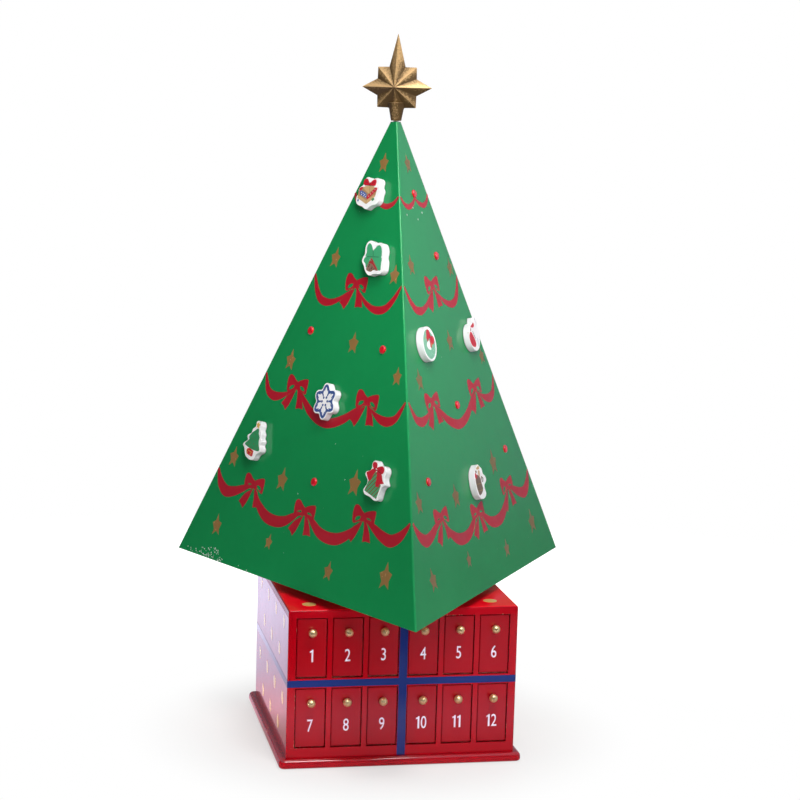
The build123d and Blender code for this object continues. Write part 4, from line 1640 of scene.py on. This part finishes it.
    def flecks(self) -> Mesh:
        """Pale flecks rubbed along the left face's foot, thickest near its corner.

        Returns:
            The flat mesh, in millimetres.
        """
        spans = [((-203, 0.8), (-170, 0.8), (-165, 6), (-197, 7), 0.3),
                 ((-170, 0.8), (-152, 0.8), (-150, 9), (-164, 9), 0.8),
                 ((-152, 0.8), (-117, 0.8), (-131, 13), (-154, 12), 1.0),
                 ((-117, 0.8), (-60, 0.8), (-62, 4), (-119, 4), 0.08)]
        corners, faces, worn = [], [], []
        for *around, amount in spans:
            faces.append(tuple(range(len(corners), len(corners) + 4)))
            corners += [(x, y, 0) for x, y in around]
            worn += [amount, amount, amount * self.fleck_fade, amount * self.fleck_fade]
        host = bpy.data.meshes.new("scuff_patch")
        host.from_pydata(corners, [], faces)
        marked(host, "worn", worn)
        smallest, largest = self.fleck_sizes
        inputs = {"Density": self.fleck_density, "Seed": self.fleck_seed, "Smallest": smallest,
                  "Largest": largest, "Material": SCUFF.make()}
        return grown(host, scuff_tree(), inputs, prism([self.fleck], self.paint_low, self.scuff_high))

    def nicks(self, outline: Outline, places: tuple[Place, ...]) -> Mesh:
        """Small knocks in the lacquer, all of one shape."""
        return stamps(prism([soft(outline)], self.paint_low, self.scuff_high), list(places), SCUFF)

    def build(self) -> None:
        """Paints the decoration on all three faces, and rubs and knocks two of them."""
        makers = (("garlands", self.garland, [GARLAND_RED], "red_paint"),
                  ("painted_stars", self.star_field, [STAR_GOLD, RUBBED_GOLD], "gold_paint"))
        for name, make, finishes, slot in makers:
            faces = []
            for side in Side:
                mesh = placed(make(), self.place(side))
                rubbed = int(side is Side.RIGHT and len(finishes) > 1)
                mesh.polygons.foreach_set("material_index", [rubbed] * len(mesh.polygons))
                faces.append(mesh)
            piece(name, joined(faces), finishes, "tree")
        left = self.nicks([(-1, 0), (-0.2, -0.4), (0.9, -0.1), (0.3, 0.5)], self.left_nicks)
        right = self.nicks([(-1, 0), (-0.2, -0.5), (0.9, -0.2), (0.3, 0.6)], self.right_nicks)
        rubs = placed(joined([self.flecks(), left]), self.place(Side.LEFT))
        rubs = joined([rubs, placed(right, self.place(Side.RIGHT))])
        piece("lacquer_scuffs", rubs, [SCUFF], "tree")

    def dress(self) -> None:
        """Lacquers the panels and finishes the parts inside and under the tree."""
        for side in Side:
            across, slope, _, middle = self.axes(side)
            edges = PanelEdges(tuple(middle * MM), tuple(across), tuple(slope), self.side / 2 * MM,
                               (self.side - self.top_side) / 2 / self.slant)
            name = side.name.lower()
            dress(f"tree_panel_{name}", replace(GREEN_LACQUER, name=f"green_lacquer_{name}", edges=edges))
            dress(f"studs_{name}", STUD_RED)
        for node in ("tree_base_board", "tree_tip_plug"):
            dress(node, BIRCH_FLAT)
        for node in ("turntable_upper_plate", "turntable_upper_screws", "star_pin"):
            dress(node, ZINC)


# Star
@dataclass
class StarTopper:
    """The gold star: the solid's facets with every ridge eased."""

    centre: float = 663.1
    turn: float = radians(-26.0)
    ease: float = 0.55
    flat_angle: float = 1.0
    ridge_angle: float = 12.0
    pin_reach: float = 2.2

    def build(self) -> None:
        """Eases the ridges of a copy of the solid and gilds it."""
        shell = opened("star_topper", Matrix(), WELD * MM, self.flat_angle)
        sharp = [e for e in shell.edges if len(e.link_faces) == 2
                 and e.calc_face_angle() > radians(self.ridge_angle)]
        ridges = [e for e in sharp if max(v.co.xy.length for v in e.verts) > self.pin_reach * MM]
        bmesh.ops.bevel(shell, geom=ridges, offset=self.ease * MM, segments=2, profile=0.5, affect="EDGES",
                        clamp_overlap=True)
        mesh = kept(shell, "star")
        gilt = Gilt("antique_gilt", (0.62, 0.395, 0.17), (0.095, 0.053, 0.016), (0, 0, self.centre * MM),
                    self.turn)
        piece("star_gilt", evened(smooth(mesh, 24), 30), [gilt], "star", ("star_topper",))


# Ornaments
Layer = tuple[Ink, list[Outline]]


def layers(*plates: tuple) -> list[Layer]:
    """One layer for each outline, from plates of an ink and its outlines, the lowest first."""
    return [(ink, [outline]) for ink, *outlines in plates for outline in outlines]


class Prints:
    """The ornaments' printed pictures, drawn about their middle on a grid of one ornament size."""

    @staticmethod
    def gift_boxes() -> list[Layer]:
        """Stacked boxes seen from a corner, with a bow on top.

        Returns:
            The layers, the lowest first.
        """
        bow = [soft([(-0.31, 0.27), (-0.36, 0.38), (-0.31, 0.46), (-0.2, 0.48), (-0.11, 0.4), (-0.05, 0.32),
                     (-0.04, 0.26)]),
               soft([(0, 0.26), (0, 0.32), (0.08, 0.4), (0.19, 0.45), (0.29, 0.42), (0.31, 0.33),
                     (0.26, 0.24)])]
        lid = [(-0.35, 0.19), (-0.21, 0.23), (0, 0.24), (0.24, 0.22), (0.25, 0.13), (0.11, 0.07),
               (0, -0.01), (-0.16, 0.07)]
        left = [(-0.53, 0.09), (-0.53, 0.15), (-0.44, 0.2), (-0.33, 0.2), (-0.37, 0.12), (-0.48, 0.07)]
        right = [(0.26, 0.14), (0.31, 0.19), (0.42, 0.17), (0.41, 0.1), (0.31, 0.02), (0.14, -0.12),
                 (-0.01, -0.22), (-0.07, -0.15), (-0.02, -0.06), (0.08, -0.01), (0.16, 0.06)]
        blue = [(-0.47, 0.06), (-0.4, 0.09), (-0.26, 0.05), (-0.09, -0.02), (-0.05, -0.18), (-0.26, -0.12),
                (-0.44, -0.05)]
        low_left = [(-0.54, -0.09), (-0.45, -0.1), (-0.27, -0.16), (-0.06, -0.24), (-0.04, -0.36),
                    (-0.3, -0.25), (-0.54, -0.17)]
        low_right = [(-0.03, -0.24), (0.15, -0.14), (0.33, -0.05), (0.38, -0.1), (0.25, -0.21),
                     (-0.01, -0.36)]
        spots = [disc(x, y, 0.02, 10)
                 for x, y in ((-0.37, 0.02), (-0.27, -0.01), (-0.18, -0.05), (-0.35, -0.05), (-0.22, -0.09),
                              (-0.12, -0.12))]
        spots += [disc(0.04 + 0.09 * i, -0.1 + 0.07 * i, 0.014, 8) for i in range(4)]
        lines = [capsule(-0.02, 0.3, 0.12, 0.05, 90), capsule(-0.02, 0.25, 0.5, 0.018, -2),
                 capsule(-0.19, 0.35, 0.14, 0.018, -20), capsule(0.15, 0.34, 0.14, 0.018, 20)]
        ground = [(-0.54, 0.06), (-0.35, 0.19), (0, 0.24), (0.26, 0.19), (0.41, 0.14), (0.38, -0.1),
                  (0, -0.36), (-0.54, -0.17)]
        return layers((Ink.WOOD, ground), (Ink.TAN, low_left, low_right), (Ink.RED, left, right),
                      (Ink.SKY, blue), (Ink.TAN, lid), (Ink.OCHRE, capsule(0.03, 0.12, 0.2, 0.02, 106)),
                      (Ink.RED, *bow), (Ink.DARK_RED, *lines), (Ink.WHITE, *spots),
                      (Ink.SKY, disc(-0.48, -0.24, 0.04, 12)),
                      (Ink.GREEN, soft([(0.22, -0.2), (0.31, -0.15), (0.36, -0.21), (0.28, -0.26)])))

    @staticmethod
    def holly() -> list[Layer]:
        """Four leaves round a cone.

        Returns:
            The layers, the lowest first.
        """
        upper_left = soft([(-0.46, 0.03), (-0.48, 0.16), (-0.53, 0.29), (-0.51, 0.4), (-0.44, 0.45),
                           (-0.34, 0.42), (-0.24, 0.33), (-0.19, 0.27), (-0.11, 0.08)])
        upper_right = soft([(-0.15, 0.27), (-0.09, 0.34), (-0.04, 0.41), (0.05, 0.46), (0.16, 0.44),
                            (0.25, 0.35), (0.31, 0.22), (0.31, 0.13), (-0.06, 0.09)])
        lower_left = soft([(-0.46, -0.01), (-0.2, 0.03), (-0.22, -0.05), (-0.22, -0.2), (-0.26, -0.32),
                           (-0.33, -0.3), (-0.37, -0.22), (-0.48, -0.17), (-0.52, -0.1)])
        lower_right = soft([(-0.03, 0.05), (0.31, 0.1), (0.39, 0.03), (0.4, -0.06), (0.44, -0.19),
                            (0.46, -0.3), (0.33, -0.32), (0.16, -0.22), (-0.02, -0.1)])
        cone = soft([(-0.17, 0.02), (-0.02, -0.06), (0.14, -0.17), (0.33, -0.31), (0.3, -0.35),
                     (0.11, -0.35), (0.01, -0.42), (-0.12, -0.43), (-0.25, -0.4), (-0.28, -0.31),
                     (-0.24, -0.16), (-0.2, -0.05)])
        bands = [soft([(-0.21, -0.12), (-0.12, -0.09), (-0.02, -0.11), (0.13, -0.2), (0.27, -0.3),
                       (0.21, -0.31), (0.06, -0.22), (-0.06, -0.17), (-0.2, -0.17)]),
                 capsule(-0.08, -0.06, 0.16, 0.045, -24)]
        joints = [capsule(-0.135, 0.18, 0.22, 0.018, 115), capsule(-0.09, 0.055, 0.62, 0.018, 7)]
        waist = soft([(-0.45, 0), (-0.44, 0.06), (-0.1, 0.13), (0.28, 0.15), (0.33, 0.1), (0.28, 0.02),
                      (-0.05, -0.04)])
        scales = [capsule(-0.17, -0.25, 0.12, 0.045, 82), capsule(0.0, -0.3, 0.1, 0.045, 84),
                  capsule(0.12, -0.31, 0.07, 0.03, 60), capsule(-0.08, -0.36, 0.08, 0.035, 80)]
        return layers((Ink.LEAF, waist, upper_left, upper_right, lower_left, lower_right),
                      (Ink.DARK_GREEN, *joints), (Ink.CONE, cone), (Ink.CRIMSON, *bands),
                      (Ink.DARK, *scales))

    @staticmethod
    def snowflake() -> list[Layer]:
        """White branched flake with a blue line round it.

        Returns:
            The layers, the lowest first.
        """
        def flake(tip: float, shoulder: float, notch: float) -> Outline:
            """Six blunt points.

            Args:
                tip: reach of the points.
                shoulder: reach beside them.
                notch: reach between them.

            Returns:
                The closed outline.
            """
            reaches = ((-30, notch), (-13, shoulder), (0, tip), (13, shoulder))
            return [(r * sin(radians(60 * i + a)), r * cos(radians(60 * i + a))) for i in range(6)
                    for a, r in reaches]

        def nicks(reach: float, side: float, length: float, lean: float, width: float) -> list[Outline]:
            """The same bar on every arm."""
            return [capsule(*moved([(side, reach)], 0, 0, 60 * i)[0], length, width, 60 * i + lean)
                    for i in range(6)]

        gaps = [bar for hand in (-1, 1) for bar in nicks(0.4, 0.06 * hand, 0.13, 90 + 22 * hand, 0.036)]
        gaps += [moved(bar, 0, 0, 30) for bar in nicks(0.27, 0, 0.16, 90, 0.06)
                 + nicks(0.14, 0, 0.09, 90, 0.085)]
        return layers((Ink.NAVY, soft(flake(0.555, 0.5, 0.4))), (Ink.WHITE, soft(flake(0.46, 0.4, 0.28))),
                      (Ink.NAVY, *gaps))

    @staticmethod
    def tree() -> list[Layer]:
        """Small tree in a tub, with a star.

        Returns:
            The layers, the lowest first.
        """
        green = soft([(0.19, 0.41), (0.04, 0.33), (-0.1, 0.26), (-0.2, 0.17), (-0.25, 0.09), (-0.21, 0.03),
                      (-0.34, -0.06), (-0.43, -0.14), (-0.29, -0.21), (-0.16, -0.26), (0.03, -0.31),
                      (0.24, -0.35), (0.39, -0.36), (0.45, -0.3), (0.37, -0.14), (0.34, -0.01), (0.36, 0.1),
                      (0.27, 0.23), (0.26, 0.34)], 2)
        star = moved(star_outline(5, 0.12, 0.07), 0.17, 0.51, -8)
        tub = [(-0.24, -0.29), (-0.1, -0.27), (0.13, -0.36), (0.11, -0.53), (0.05, -0.56), (-0.24, -0.46),
               (-0.27, -0.37)]
        lights = [disc(x, y, 0.018, 8)
                  for x, y in ((0.1, 0.2), (-0.02, 0.05), (0.18, 0.02), (-0.14, -0.1), (0.08, -0.12),
                               (0.26, -0.18), (-0.24, -0.16), (0.14, -0.27), (0.32, -0.29), (-0.04, -0.22))]
        bars = [capsule(-0.2, -0.42, 0.07, 0.03, 70), capsule(-0.03, -0.47, 0.08, 0.03, 70),
                capsule(-0.07, -0.38, 0.24, 0.022, -18)]
        return layers((Ink.RED, tub), (Ink.GOLD, *bars, capsule(-0.255, -0.34, 0.1, 0.03, 76)),
                      (Ink.GREEN, green), (Ink.DARK_RED, *lights), (Ink.GOLD, star))

    @staticmethod
    def striped_gift() -> list[Layer]:
        """Striped square gift with a large bow.

        Returns:
            The layers, the lowest first.
        """
        box = [(-0.28, -0.47), (0.4, -0.47), (0.37, -0.04), (0.1, 0.25), (-0.12, 0.25), (-0.27, -0.14)]
        slant = (-0.87, 0.49)
        stripes = []
        for i in range(9):
            near = (slant[0] * (0.115 * i - 0.5), slant[1] * (0.115 * i - 0.5) - 0.15)
            far = (near[0] + slant[0] * 0.055, near[1] + slant[1] * 0.055)
            stripe = cut(cut(box, far, slant), near, (-slant[0], -slant[1]))
            if len(stripe) > 2:
                stripes.append(stripe)
        loops = [soft([(-0.29, 0.31), (-0.36, 0.38), (-0.37, 0.44), (-0.32, 0.48), (-0.21, 0.5),
                       (-0.14, 0.45), (-0.12, 0.36), (-0.19, 0.3)]),
                 soft([(-0.12, 0.36), (-0.02, 0.44), (0.08, 0.5), (0.18, 0.51), (0.26, 0.44), (0.26, 0.34),
                       (0.2, 0.28), (0.07, 0.29), (-0.04, 0.31)])]
        tails = [soft([(-0.5, 0.06), (-0.38, 0.16), (-0.29, 0.26), (-0.2, 0.29), (-0.08, 0.29),
                       (-0.14, 0.15), (-0.17, 0.01), (-0.16, -0.06), (-0.26, -0.12), (-0.37, -0.06),
                       (-0.45, 0)], 2),
                 soft([(-0.06, 0.3), (0.1, 0.29), (0.23, 0.27), (0.29, 0.21), (0.38, 0.12), (0.47, 0.09),
                       (0.4, 0.04), (0.31, -0.01), (0.29, -0.1), (0.19, -0.15), (0.11, -0.12), (0.07, 0.03),
                       (0.02, 0.16)], 2)]
        return layers((Ink.LEAF, box), (Ink.OLIVE, *stripes), (Ink.RED, *tails, *loops),
                      (Ink.DARK_RED, capsule(-0.03, 0.3, 0.46, 0.028, 1),
                       capsule(0.08, 0.38, 0.14, 0.016, 40)))

    @staticmethod
    def wreath() -> list[Layer]:
        """Green wreath with a red bow.

        Returns:
            The layers, the lowest first.
        """
        ring = soft([(-0.3, 0.36), (-0.42, 0.19), (-0.47, 0), (-0.42, -0.25), (-0.25, -0.42), (0.03, -0.49),
                     (0.27, -0.38), (0.42, -0.18), (0.45, 0.03), (0.41, 0.2), (0.26, 0.34), (-0.07, 0.45)])
        hole = soft([(-0.02, 0.11), (0.04, 0.04), (0.05, -0.07), (0.1, -0.16), (0, -0.2), (-0.15, -0.17),
                     (-0.22, -0.09), (-0.17, 0.02)])
        bow = [soft([(-0.06, 0.46), (0.04, 0.43), (0.09, 0.34), (0.13, 0.26), (0.03, 0.19), (-0.06, 0.13),
                     (-0.11, 0.05), (-0.2, 0.13), (-0.2, 0.23), (-0.21, 0.34), (-0.15, 0.42)]),
               soft([(0.08, 0.22), (0.23, 0.3), (0.36, 0.28), (0.4, 0.19), (0.33, 0.06), (0.2, 0),
                     (0.14, -0.1), (0.05, -0.09), (0.05, 0.08)])]
        sprigs = []
        for i in range(22):
            place = moved([(0.35 + 0.05 * sin(2.4 * i), 0)], 0, 0, 360 * i / 22)[0]
            sprigs.append(capsule(*place, 0.13, 0.03, 360 * i / 22 + 55))
        return layers((Ink.PALE_GREEN, ring), (Ink.MINT, *sprigs), (Ink.WHITE, hole), (Ink.RED, *bow),
                      (Ink.DARK_RED, capsule(0.08, 0.24, 0.14, 0.03, 60)),
                      (Ink.GOLD, capsule(0.17, -0.01, 0.12, 0.04, 80), disc(-0.27, 0.15, 0.035, 12)))

    @staticmethod
    def bauble() -> list[Layer]:
        """Red ball with a broad white band and a cap.

        Returns:
            The layers, the lowest first.
        """
        cap = soft([(-0.13, 0.38), (-0.07, 0.31), (-0.1, 0.22), (-0.24, 0.14), (-0.31, 0.13), (-0.35, 0.04),
                    (-0.34, 0.15), (-0.24, 0.26)])
        red = soft([(-0.4, -0.16), (-0.35, -0.06), (-0.23, -0.05), (-0.11, -0.1), (0.04, -0.18),
                    (0.14, -0.29), (0.11, -0.41), (-0.03, -0.48), (-0.18, -0.5), (-0.31, -0.43),
                    (-0.39, -0.34), (-0.42, -0.25)])
        line = capsule(-0.05, -0.04, 0.3, 0.03, -35)
        return layers((Ink.RED, cap, red), (Ink.DARK_GREEN, line),
                      (Ink.DARK_RED, capsule(-0.33, 0.02, 0.12, 0.05, 80),
                       *[disc(-0.3 + 0.09 * i, -0.16 - 0.07 * i, 0.02, 10) for i in range(4)]),
                      (Ink.SNOW, soft([(0.2, -0.1), (0.34, -0.3), (0.4, -0.2), (0.28, -0.02)])))

    @staticmethod
    def mug() -> list[Layer]:
        """Brown mug with a heaped top and a handle.

        Returns:
            The layers, the lowest first.
        """
        body = soft([(-0.34, 0.22), (-0.17, 0.28), (-0.04, 0.2), (0.04, 0.09), (0.03, -0.01), (0.05, -0.14),
                     (0.06, -0.23), (-0.02, -0.31), (-0.2, -0.37), (-0.35, -0.37), (-0.39, -0.29),
                     (-0.43, -0.11), (-0.43, 0.06), (-0.4, 0.17)])
        red = soft([(-0.38, 0.3), (-0.36, 0.36), (-0.28, 0.38), (-0.27, 0.33), (-0.19, 0.27), (-0.25, 0.18),
                    (-0.32, 0.18), (-0.4, 0.25)])
        top = soft([(-0.15, 0.48), (-0.04, 0.51), (0.08, 0.52), (0.15, 0.45), (0.08, 0.41), (-0.07, 0.43)])
        stick = soft([(-0.01, 0.39), (0.09, 0.35), (0.05, 0.24), (-0.01, 0.18), (-0.07, 0.25),
                      (-0.06, 0.34)])
        handle = soft([(0.13, 0.16), (0.24, 0.1), (0.27, 0.03), (0.2, -0.04), (0.12, -0.04), (0.1, 0.05)])
        return layers((Ink.BROWN, body),
                      (Ink.OCHRE, capsule(-0.17, -0.25, 0.36, 0.025, -8),
                       capsule(-0.2, -0.02, 0.36, 0.025, -8)), (Ink.BROWN, handle),
                      (Ink.SNOW, capsule(0.19, 0.03, 0.1, 0.05, 70)), (Ink.RED, red),
                      (Ink.CONE, soft([(-0.28, 0.44), (-0.17, 0.42), (-0.18, 0.35), (-0.27, 0.38)])),
                      (Ink.TAN, top, stick))


@dataclass(frozen=True)
class Ornament:
    """One ornament: where it sits and what is printed on it."""

    name: str
    side: Side
    stud: Stud
    middle: Point
    lean: float


@dataclass
class Ornaments:
    """The white ornaments with printed fronts that sit on the studs."""

    tree: Tree
    size: float = 31.0
    front: float = 7.2
    ease: float = 0.6
    weld: float = 0.001
    flat_angle: float = 0.5
    rim_reach: float = 0.01
    ink_t: float = 0.003
    ink_lift: float = 0.03
    ink_root: float = 0.05
    magnet_reach: float = 4.62
    # Front white of the ornaments on each face: painted light, set per face by how much light that face
    # gets.
    paper: dict[Side, float] = field(default_factory=lambda: {Side.LEFT: 0.97, Side.RIGHT: 0.94})
    members: tuple[Ornament, ...] = (
        Ornament("gift_boxes", Side.LEFT, Stud.TIP, (-4.3, -1.8), 3),
        Ornament("holly", Side.LEFT, Stud.UPPER, (3.2, -1.7), -4),
        Ornament("snowflake", Side.LEFT, Stud.CENTRE, (-0.6, 1.8), 8),
        Ornament("tree", Side.LEFT, Stud.LOWER_LEFT, (5.1, 7.0), 6),
        Ornament("striped_gift", Side.LEFT, Stud.LOWER_RIGHT, (-2.6, 0.6), -14),
        Ornament("wreath", Side.RIGHT, Stud.MIDDLE_LEFT, (2.8, -1.5), -16),
        Ornament("bauble", Side.RIGHT, Stud.MIDDLE_RIGHT, (4.8, 1.1), -30),
        Ornament("mug", Side.RIGHT, Stud.LOW, (1.6, -2.2), 5))

    def body(self, one: Ornament) -> Mesh:
        """A copy of the solid with its front edge eased and its magnet marked as metal.

        Args:
            one: the ornament.

        Returns:
            The mesh, in metres and in place.
        """
        place, stud = self.tree.place(one.side), Vector(self.tree.stud(one.stud))
        shell = opened(f"ornament_{one.name}", place.inverted(), self.weld, self.flat_angle)
        rim = [e for e in shell.edges if all(abs(v.co.z - self.front) < self.rim_reach for v in e.verts)]
        bmesh.ops.bevel(shell, geom=rim, offset=self.ease, segments=3, profile=0.5, affect="EDGES",
                        clamp_overlap=True)
        for face in shell.faces:
            near = max((v.co.xy - stud).length for v in face.verts) < self.magnet_reach
            inner = max(v.co.z for v in face.verts) < self.front / 2
            front = min(v.co.z for v in face.verts) > self.front - self.ease / 2
            face.material_index = 2 if front else int(near and inner)
        bmesh.ops.recalc_face_normals(shell, faces=shell.faces)
        shell.transform(place)
        return evened(smooth(kept(shell, one.name), 40), 50)

    def picture(self, one: Ornament) -> tuple[Mesh, list[Finish]]:
        """The printed front, one thin plate of ink above the other.

        Args:
            one: the ornament.

        Returns:
            The mesh, in metres and in place, and its inks.
        """
        drawn = getattr(Prints, one.name)()
        inks = list(dict.fromkeys(ink for ink, _ in drawn))
        middle = [a + b for a, b in zip(self.tree.stud(one.stud), one.middle)]
        meshes = []
        for level, (ink, loops) in enumerate(drawn):
            loops = [moved(loop, *middle, one.lean, self.size) for loop in loops]
            top = self.front + self.ink_lift + self.ink_t * (level + 1)
            meshes.append(prism(loops, self.front - self.ink_root, top, inks.index(ink)))
        return placed(joined(meshes), self.tree.place(one.side)), [ink.paint() for ink in inks]

    def build(self) -> None:
        """Makes every ornament's body and print."""
        for one in self.members:
            node, face = f"ornament_{one.name}", one.side.name.lower()
            _, _, normal, middle = self.tree.axes(one.side)
            # Painted shade: the sides' dark band next to the tree's face is a painted contact shadow.
            white = replace(ORNAMENT_WHITE, name=f"ornament_white_{face}", chip_cover=0.0, rim=1.3,
                            rim_colour=(0.03, 0.05, 0.04),
                            edges=BackEdge(tuple(middle * MM), tuple(normal)))
            # Painted light: each face's ornaments get their own front white, brighter on the left face,
            # which gets less light.
            level = self.paper[one.side]
            paper = replace(ORNAMENT_WHITE, name=f"ornament_front_{face}",
                            colour=(level, level, level + 0.01))
            piece(f"{one.name}_body", self.body(one), [white, ZINC, paper], node, (node,))
            mesh, inks = self.picture(one)
            piece(f"{one.name}_print", mesh, inks, node)


# Studio
DAYLIGHT = (1.0, 0.99, 0.975)
ROSY = (1.0, 0.97, 0.97)


@dataclass(frozen=True)
class Lamp:
    """A soft box: its place, what it faces and its size in metres, and its power in watts."""

    name: str
    place: Triple
    aim: Triple
    size: Point
    power: float
    colour: Colour = DAYLIGHT
    spread: float = 180.0
    mirrored: bool = False

    def build(self) -> None:
        """Hangs the lamp, with a grid where its spread is narrow; gloss shows it only if it is mirrored."""
        light = bpy.data.lights.new(self.name, "AREA")
        light.shape, light.size, light.size_y = "RECTANGLE", *self.size
        light.energy, light.color, light.spread = self.power, self.colour, radians(self.spread)
        made = put(self.name, light)
        made.location, made.visible_glossy = self.place, self.mirrored
        made.rotation_euler = (Vector(self.aim) - Vector(self.place)).to_track_quat("-Z", "Y").to_euler()


@dataclass
class Studio:
    """Floor, light and camera."""

    lens: float = 94.25
    eye: Triple = (-0.409327, -2.075094, 0.662490)
    right: Triple = (0.98041, -0.19485, 0.02877)
    up: Triple = (0.00080, 0.15002, 0.98868)
    back: Triple = (-0.19696, -0.96929, 0.14724)
    floor_drop: float = 0.0006
    floor_half: float = 8.0
    ambient: float = 0.18
    lamps: tuple[Lamp, ...] = (
        Lamp("overhead_soft_box", (0.08, -0.8, 1.5), (0, 0, 0.35), (0.5, 0.4), 13.0, mirrored=True),
        Lamp("front_soft_box", (0.0, -1.3, 0.5), (0, 0, 0.3), (1.0, 0.8), 1.4, (1.0, 0.985, 0.97)),
        Lamp("tree_grid_lamp", (0.0, -1.15, 0.95), (0, -0.06, 0.5), (0.3, 0.3), 0.56, spread=34),
        Lamp("low_grid_lamp", (0.0, -0.95, 0.12), (0, -0.115, 0.07), (0.5, 0.1), 0.17, ROSY, 24),
        Lamp("rear_soft_box", (0.3, 1.5, 1.0), (0, 0, 0.35), (1.0, 1.0), 9.0),
        Lamp("side_grid_lamp", (-0.95, -0.15, 0.05), (-0.115, 0, 0.02), (0.4, 0.05), 0.11, ROSY, 20))

    def camera(self) -> None:
        """The camera, where the photograph was taken from."""
        lens = bpy.data.cameras.new("camera")
        lens.lens, lens.sensor_width, lens.clip_start = self.lens, 36.0, 0.05
        made = put("camera", lens)
        turn = Matrix((self.right, self.up, self.back)).transposed().to_4x4()
        made.matrix_world = Matrix.Translation(self.eye) @ turn
        bpy.context.scene.camera = made

    def world(self) -> None:
        """White to the camera, bright above and behind to gloss, and plain soft light to the rest."""
        world = bpy.data.worlds.new("studio")
        bpy.context.scene.world = world
        world.use_nodes = True
        sheet = Sheet(world.node_tree)
        rays = sheet.add("ShaderNodeLightPath").outputs
        x, y, z = sheet.split(sheet.add("ShaderNodeTexCoord").outputs["Generated"])
        ceiling = sheet.ramp(z, 0.4, 0.75)
        rear = sheet.times(sheet.ramp(y, 0.3, 0.8, 0.0, 0.25), sheet.ramp(x, -0.75, -0.35))
        flank = sheet.times(sheet.ramp(x, 0.3, 0.85), sheet.ramp(z, -0.1, 0.2, 0.4, 0.68))
        gloss = sheet.larger(sheet.larger(ceiling, rear), sheet.larger(flank, 0.05))
        level = sheet.plus(sheet.times(rays["Is Glossy Ray"], gloss),
                           sheet.times(sheet.minus(1.0, rays["Is Glossy Ray"]), self.ambient))
        level = sheet.larger(level, rays["Is Camera Ray"])
        sheet.feed(world.node_tree.nodes["Background"].inputs["Strength"], level)
        sheet.feed(world.node_tree.nodes["Background"].inputs["Color"],
                   sheet.mix(rays["Is Glossy Ray"], (1, 1, 1, 1), (0.88, 0.95, 1.2, 1)))

    def floor(self) -> None:
        """A pale floor that keeps the object's shadow and runs out into white."""
        half = self.floor_half
        mesh = bpy.data.meshes.new("floor")
        corners = [(x * half, y * half, -self.floor_drop) for x, y in ((-1, -1), (1, -1), (1, 1), (-1, 1))]
        mesh.from_pydata(corners, [], [(0, 1, 2, 3)])
        material = bpy.data.materials.new("pale_floor")
        material.use_nodes = True
        sheet = Sheet(material.node_tree)
        shader = material.node_tree.nodes["Principled BSDF"]
        shader.inputs["Base Color"].default_value = (0.9, 0.9, 0.9, 1)
        shader.inputs["Roughness"].default_value = 0.9
        shader.inputs["Specular IOR Level"].default_value = 0.0
        where = sheet.here()
        reach = sheet.vector("LENGTH", where).outputs["Value"]
        rays = sheet.add("ShaderNodeLightPath").outputs
        share = sheet.larger(sheet.times(rays["Is Camera Ray"], sheet.ramp(reach, 0.12, 0.27, 0.55, 1.0)),
                             sheet.times(rays["Is Glossy Ray"], sheet.ramp(reach, 0.1, 0.16)))
        x, y, _ = sheet.split(where)
        ahead = sheet.times(sheet.ramp(y, -0.47, -0.27, 0.0, 0.8), sheet.ramp(y, -0.26, -0.16, 1.0, 0.45))
        ahead = sheet.larger(ahead, sheet.times(sheet.ramp(x, -0.02, 0.17, 0.0, 0.4),
                                                sheet.ramp(y, -0.85, -0.6)))
        fading = sheet.times(sheet.ramp(reach, 0.13, 0.64, 0.8, 1.42),
                             sheet.ramp(reach, 0.8, 1.6, 1.0, 0.2))
        behind = sheet.times(sheet.ramp(y, -0.1, 0.1), fading)
        lit = sheet.plus(sheet.times(ahead, sheet.ramp(y, -0.1, 0.0, 1.0, 0.0)), behind)
        tint = sheet.mix(sheet.ramp(reach, 0.13, 0.3), (1.2, 0.72, 0.86, 1), (0.82, 0.76, 1.0, 1))
        tint = sheet.mix(rays["Is Camera Ray"], tint, (1, 1, 1, 1))
        white = sheet.add("ShaderNodeEmission", {"Color": tint,
                                                 "Strength": sheet.larger(lit, rays["Is Camera Ray"])})
        mixed = sheet.add("ShaderNodeMixShader", {0: share, 1: shader.outputs[0], 2: white.outputs[0]})
        sheet.feed(material.node_tree.nodes["Material Output"].inputs["Surface"], mixed.outputs[0])
        mesh.materials.append(material)
        made = put("floor", mesh)

    def build(self) -> None:
        """Sets up the whole studio."""
        self.camera()
        self.world()
        self.floor()
        for lamp in self.lamps:
            lamp.build()
        bpy.context.scene.view_settings.view_transform = "Standard"


def main() -> None:
    """Builds the calendar piece by piece and reports each one."""
    logging.basicConfig(level=logging.INFO, format="%(message)s")
    cabinet, drawers, tree, star = Cabinet(), Drawers(), Tree(), StarTopper()
    cabinet.dress()
    cabinet.build()
    drawers.build()
    tree.dress()
    tree.build()
    star.build()
    Ornaments(tree).build()
    Studio().build()


if __name__ == "__main__":
    main()
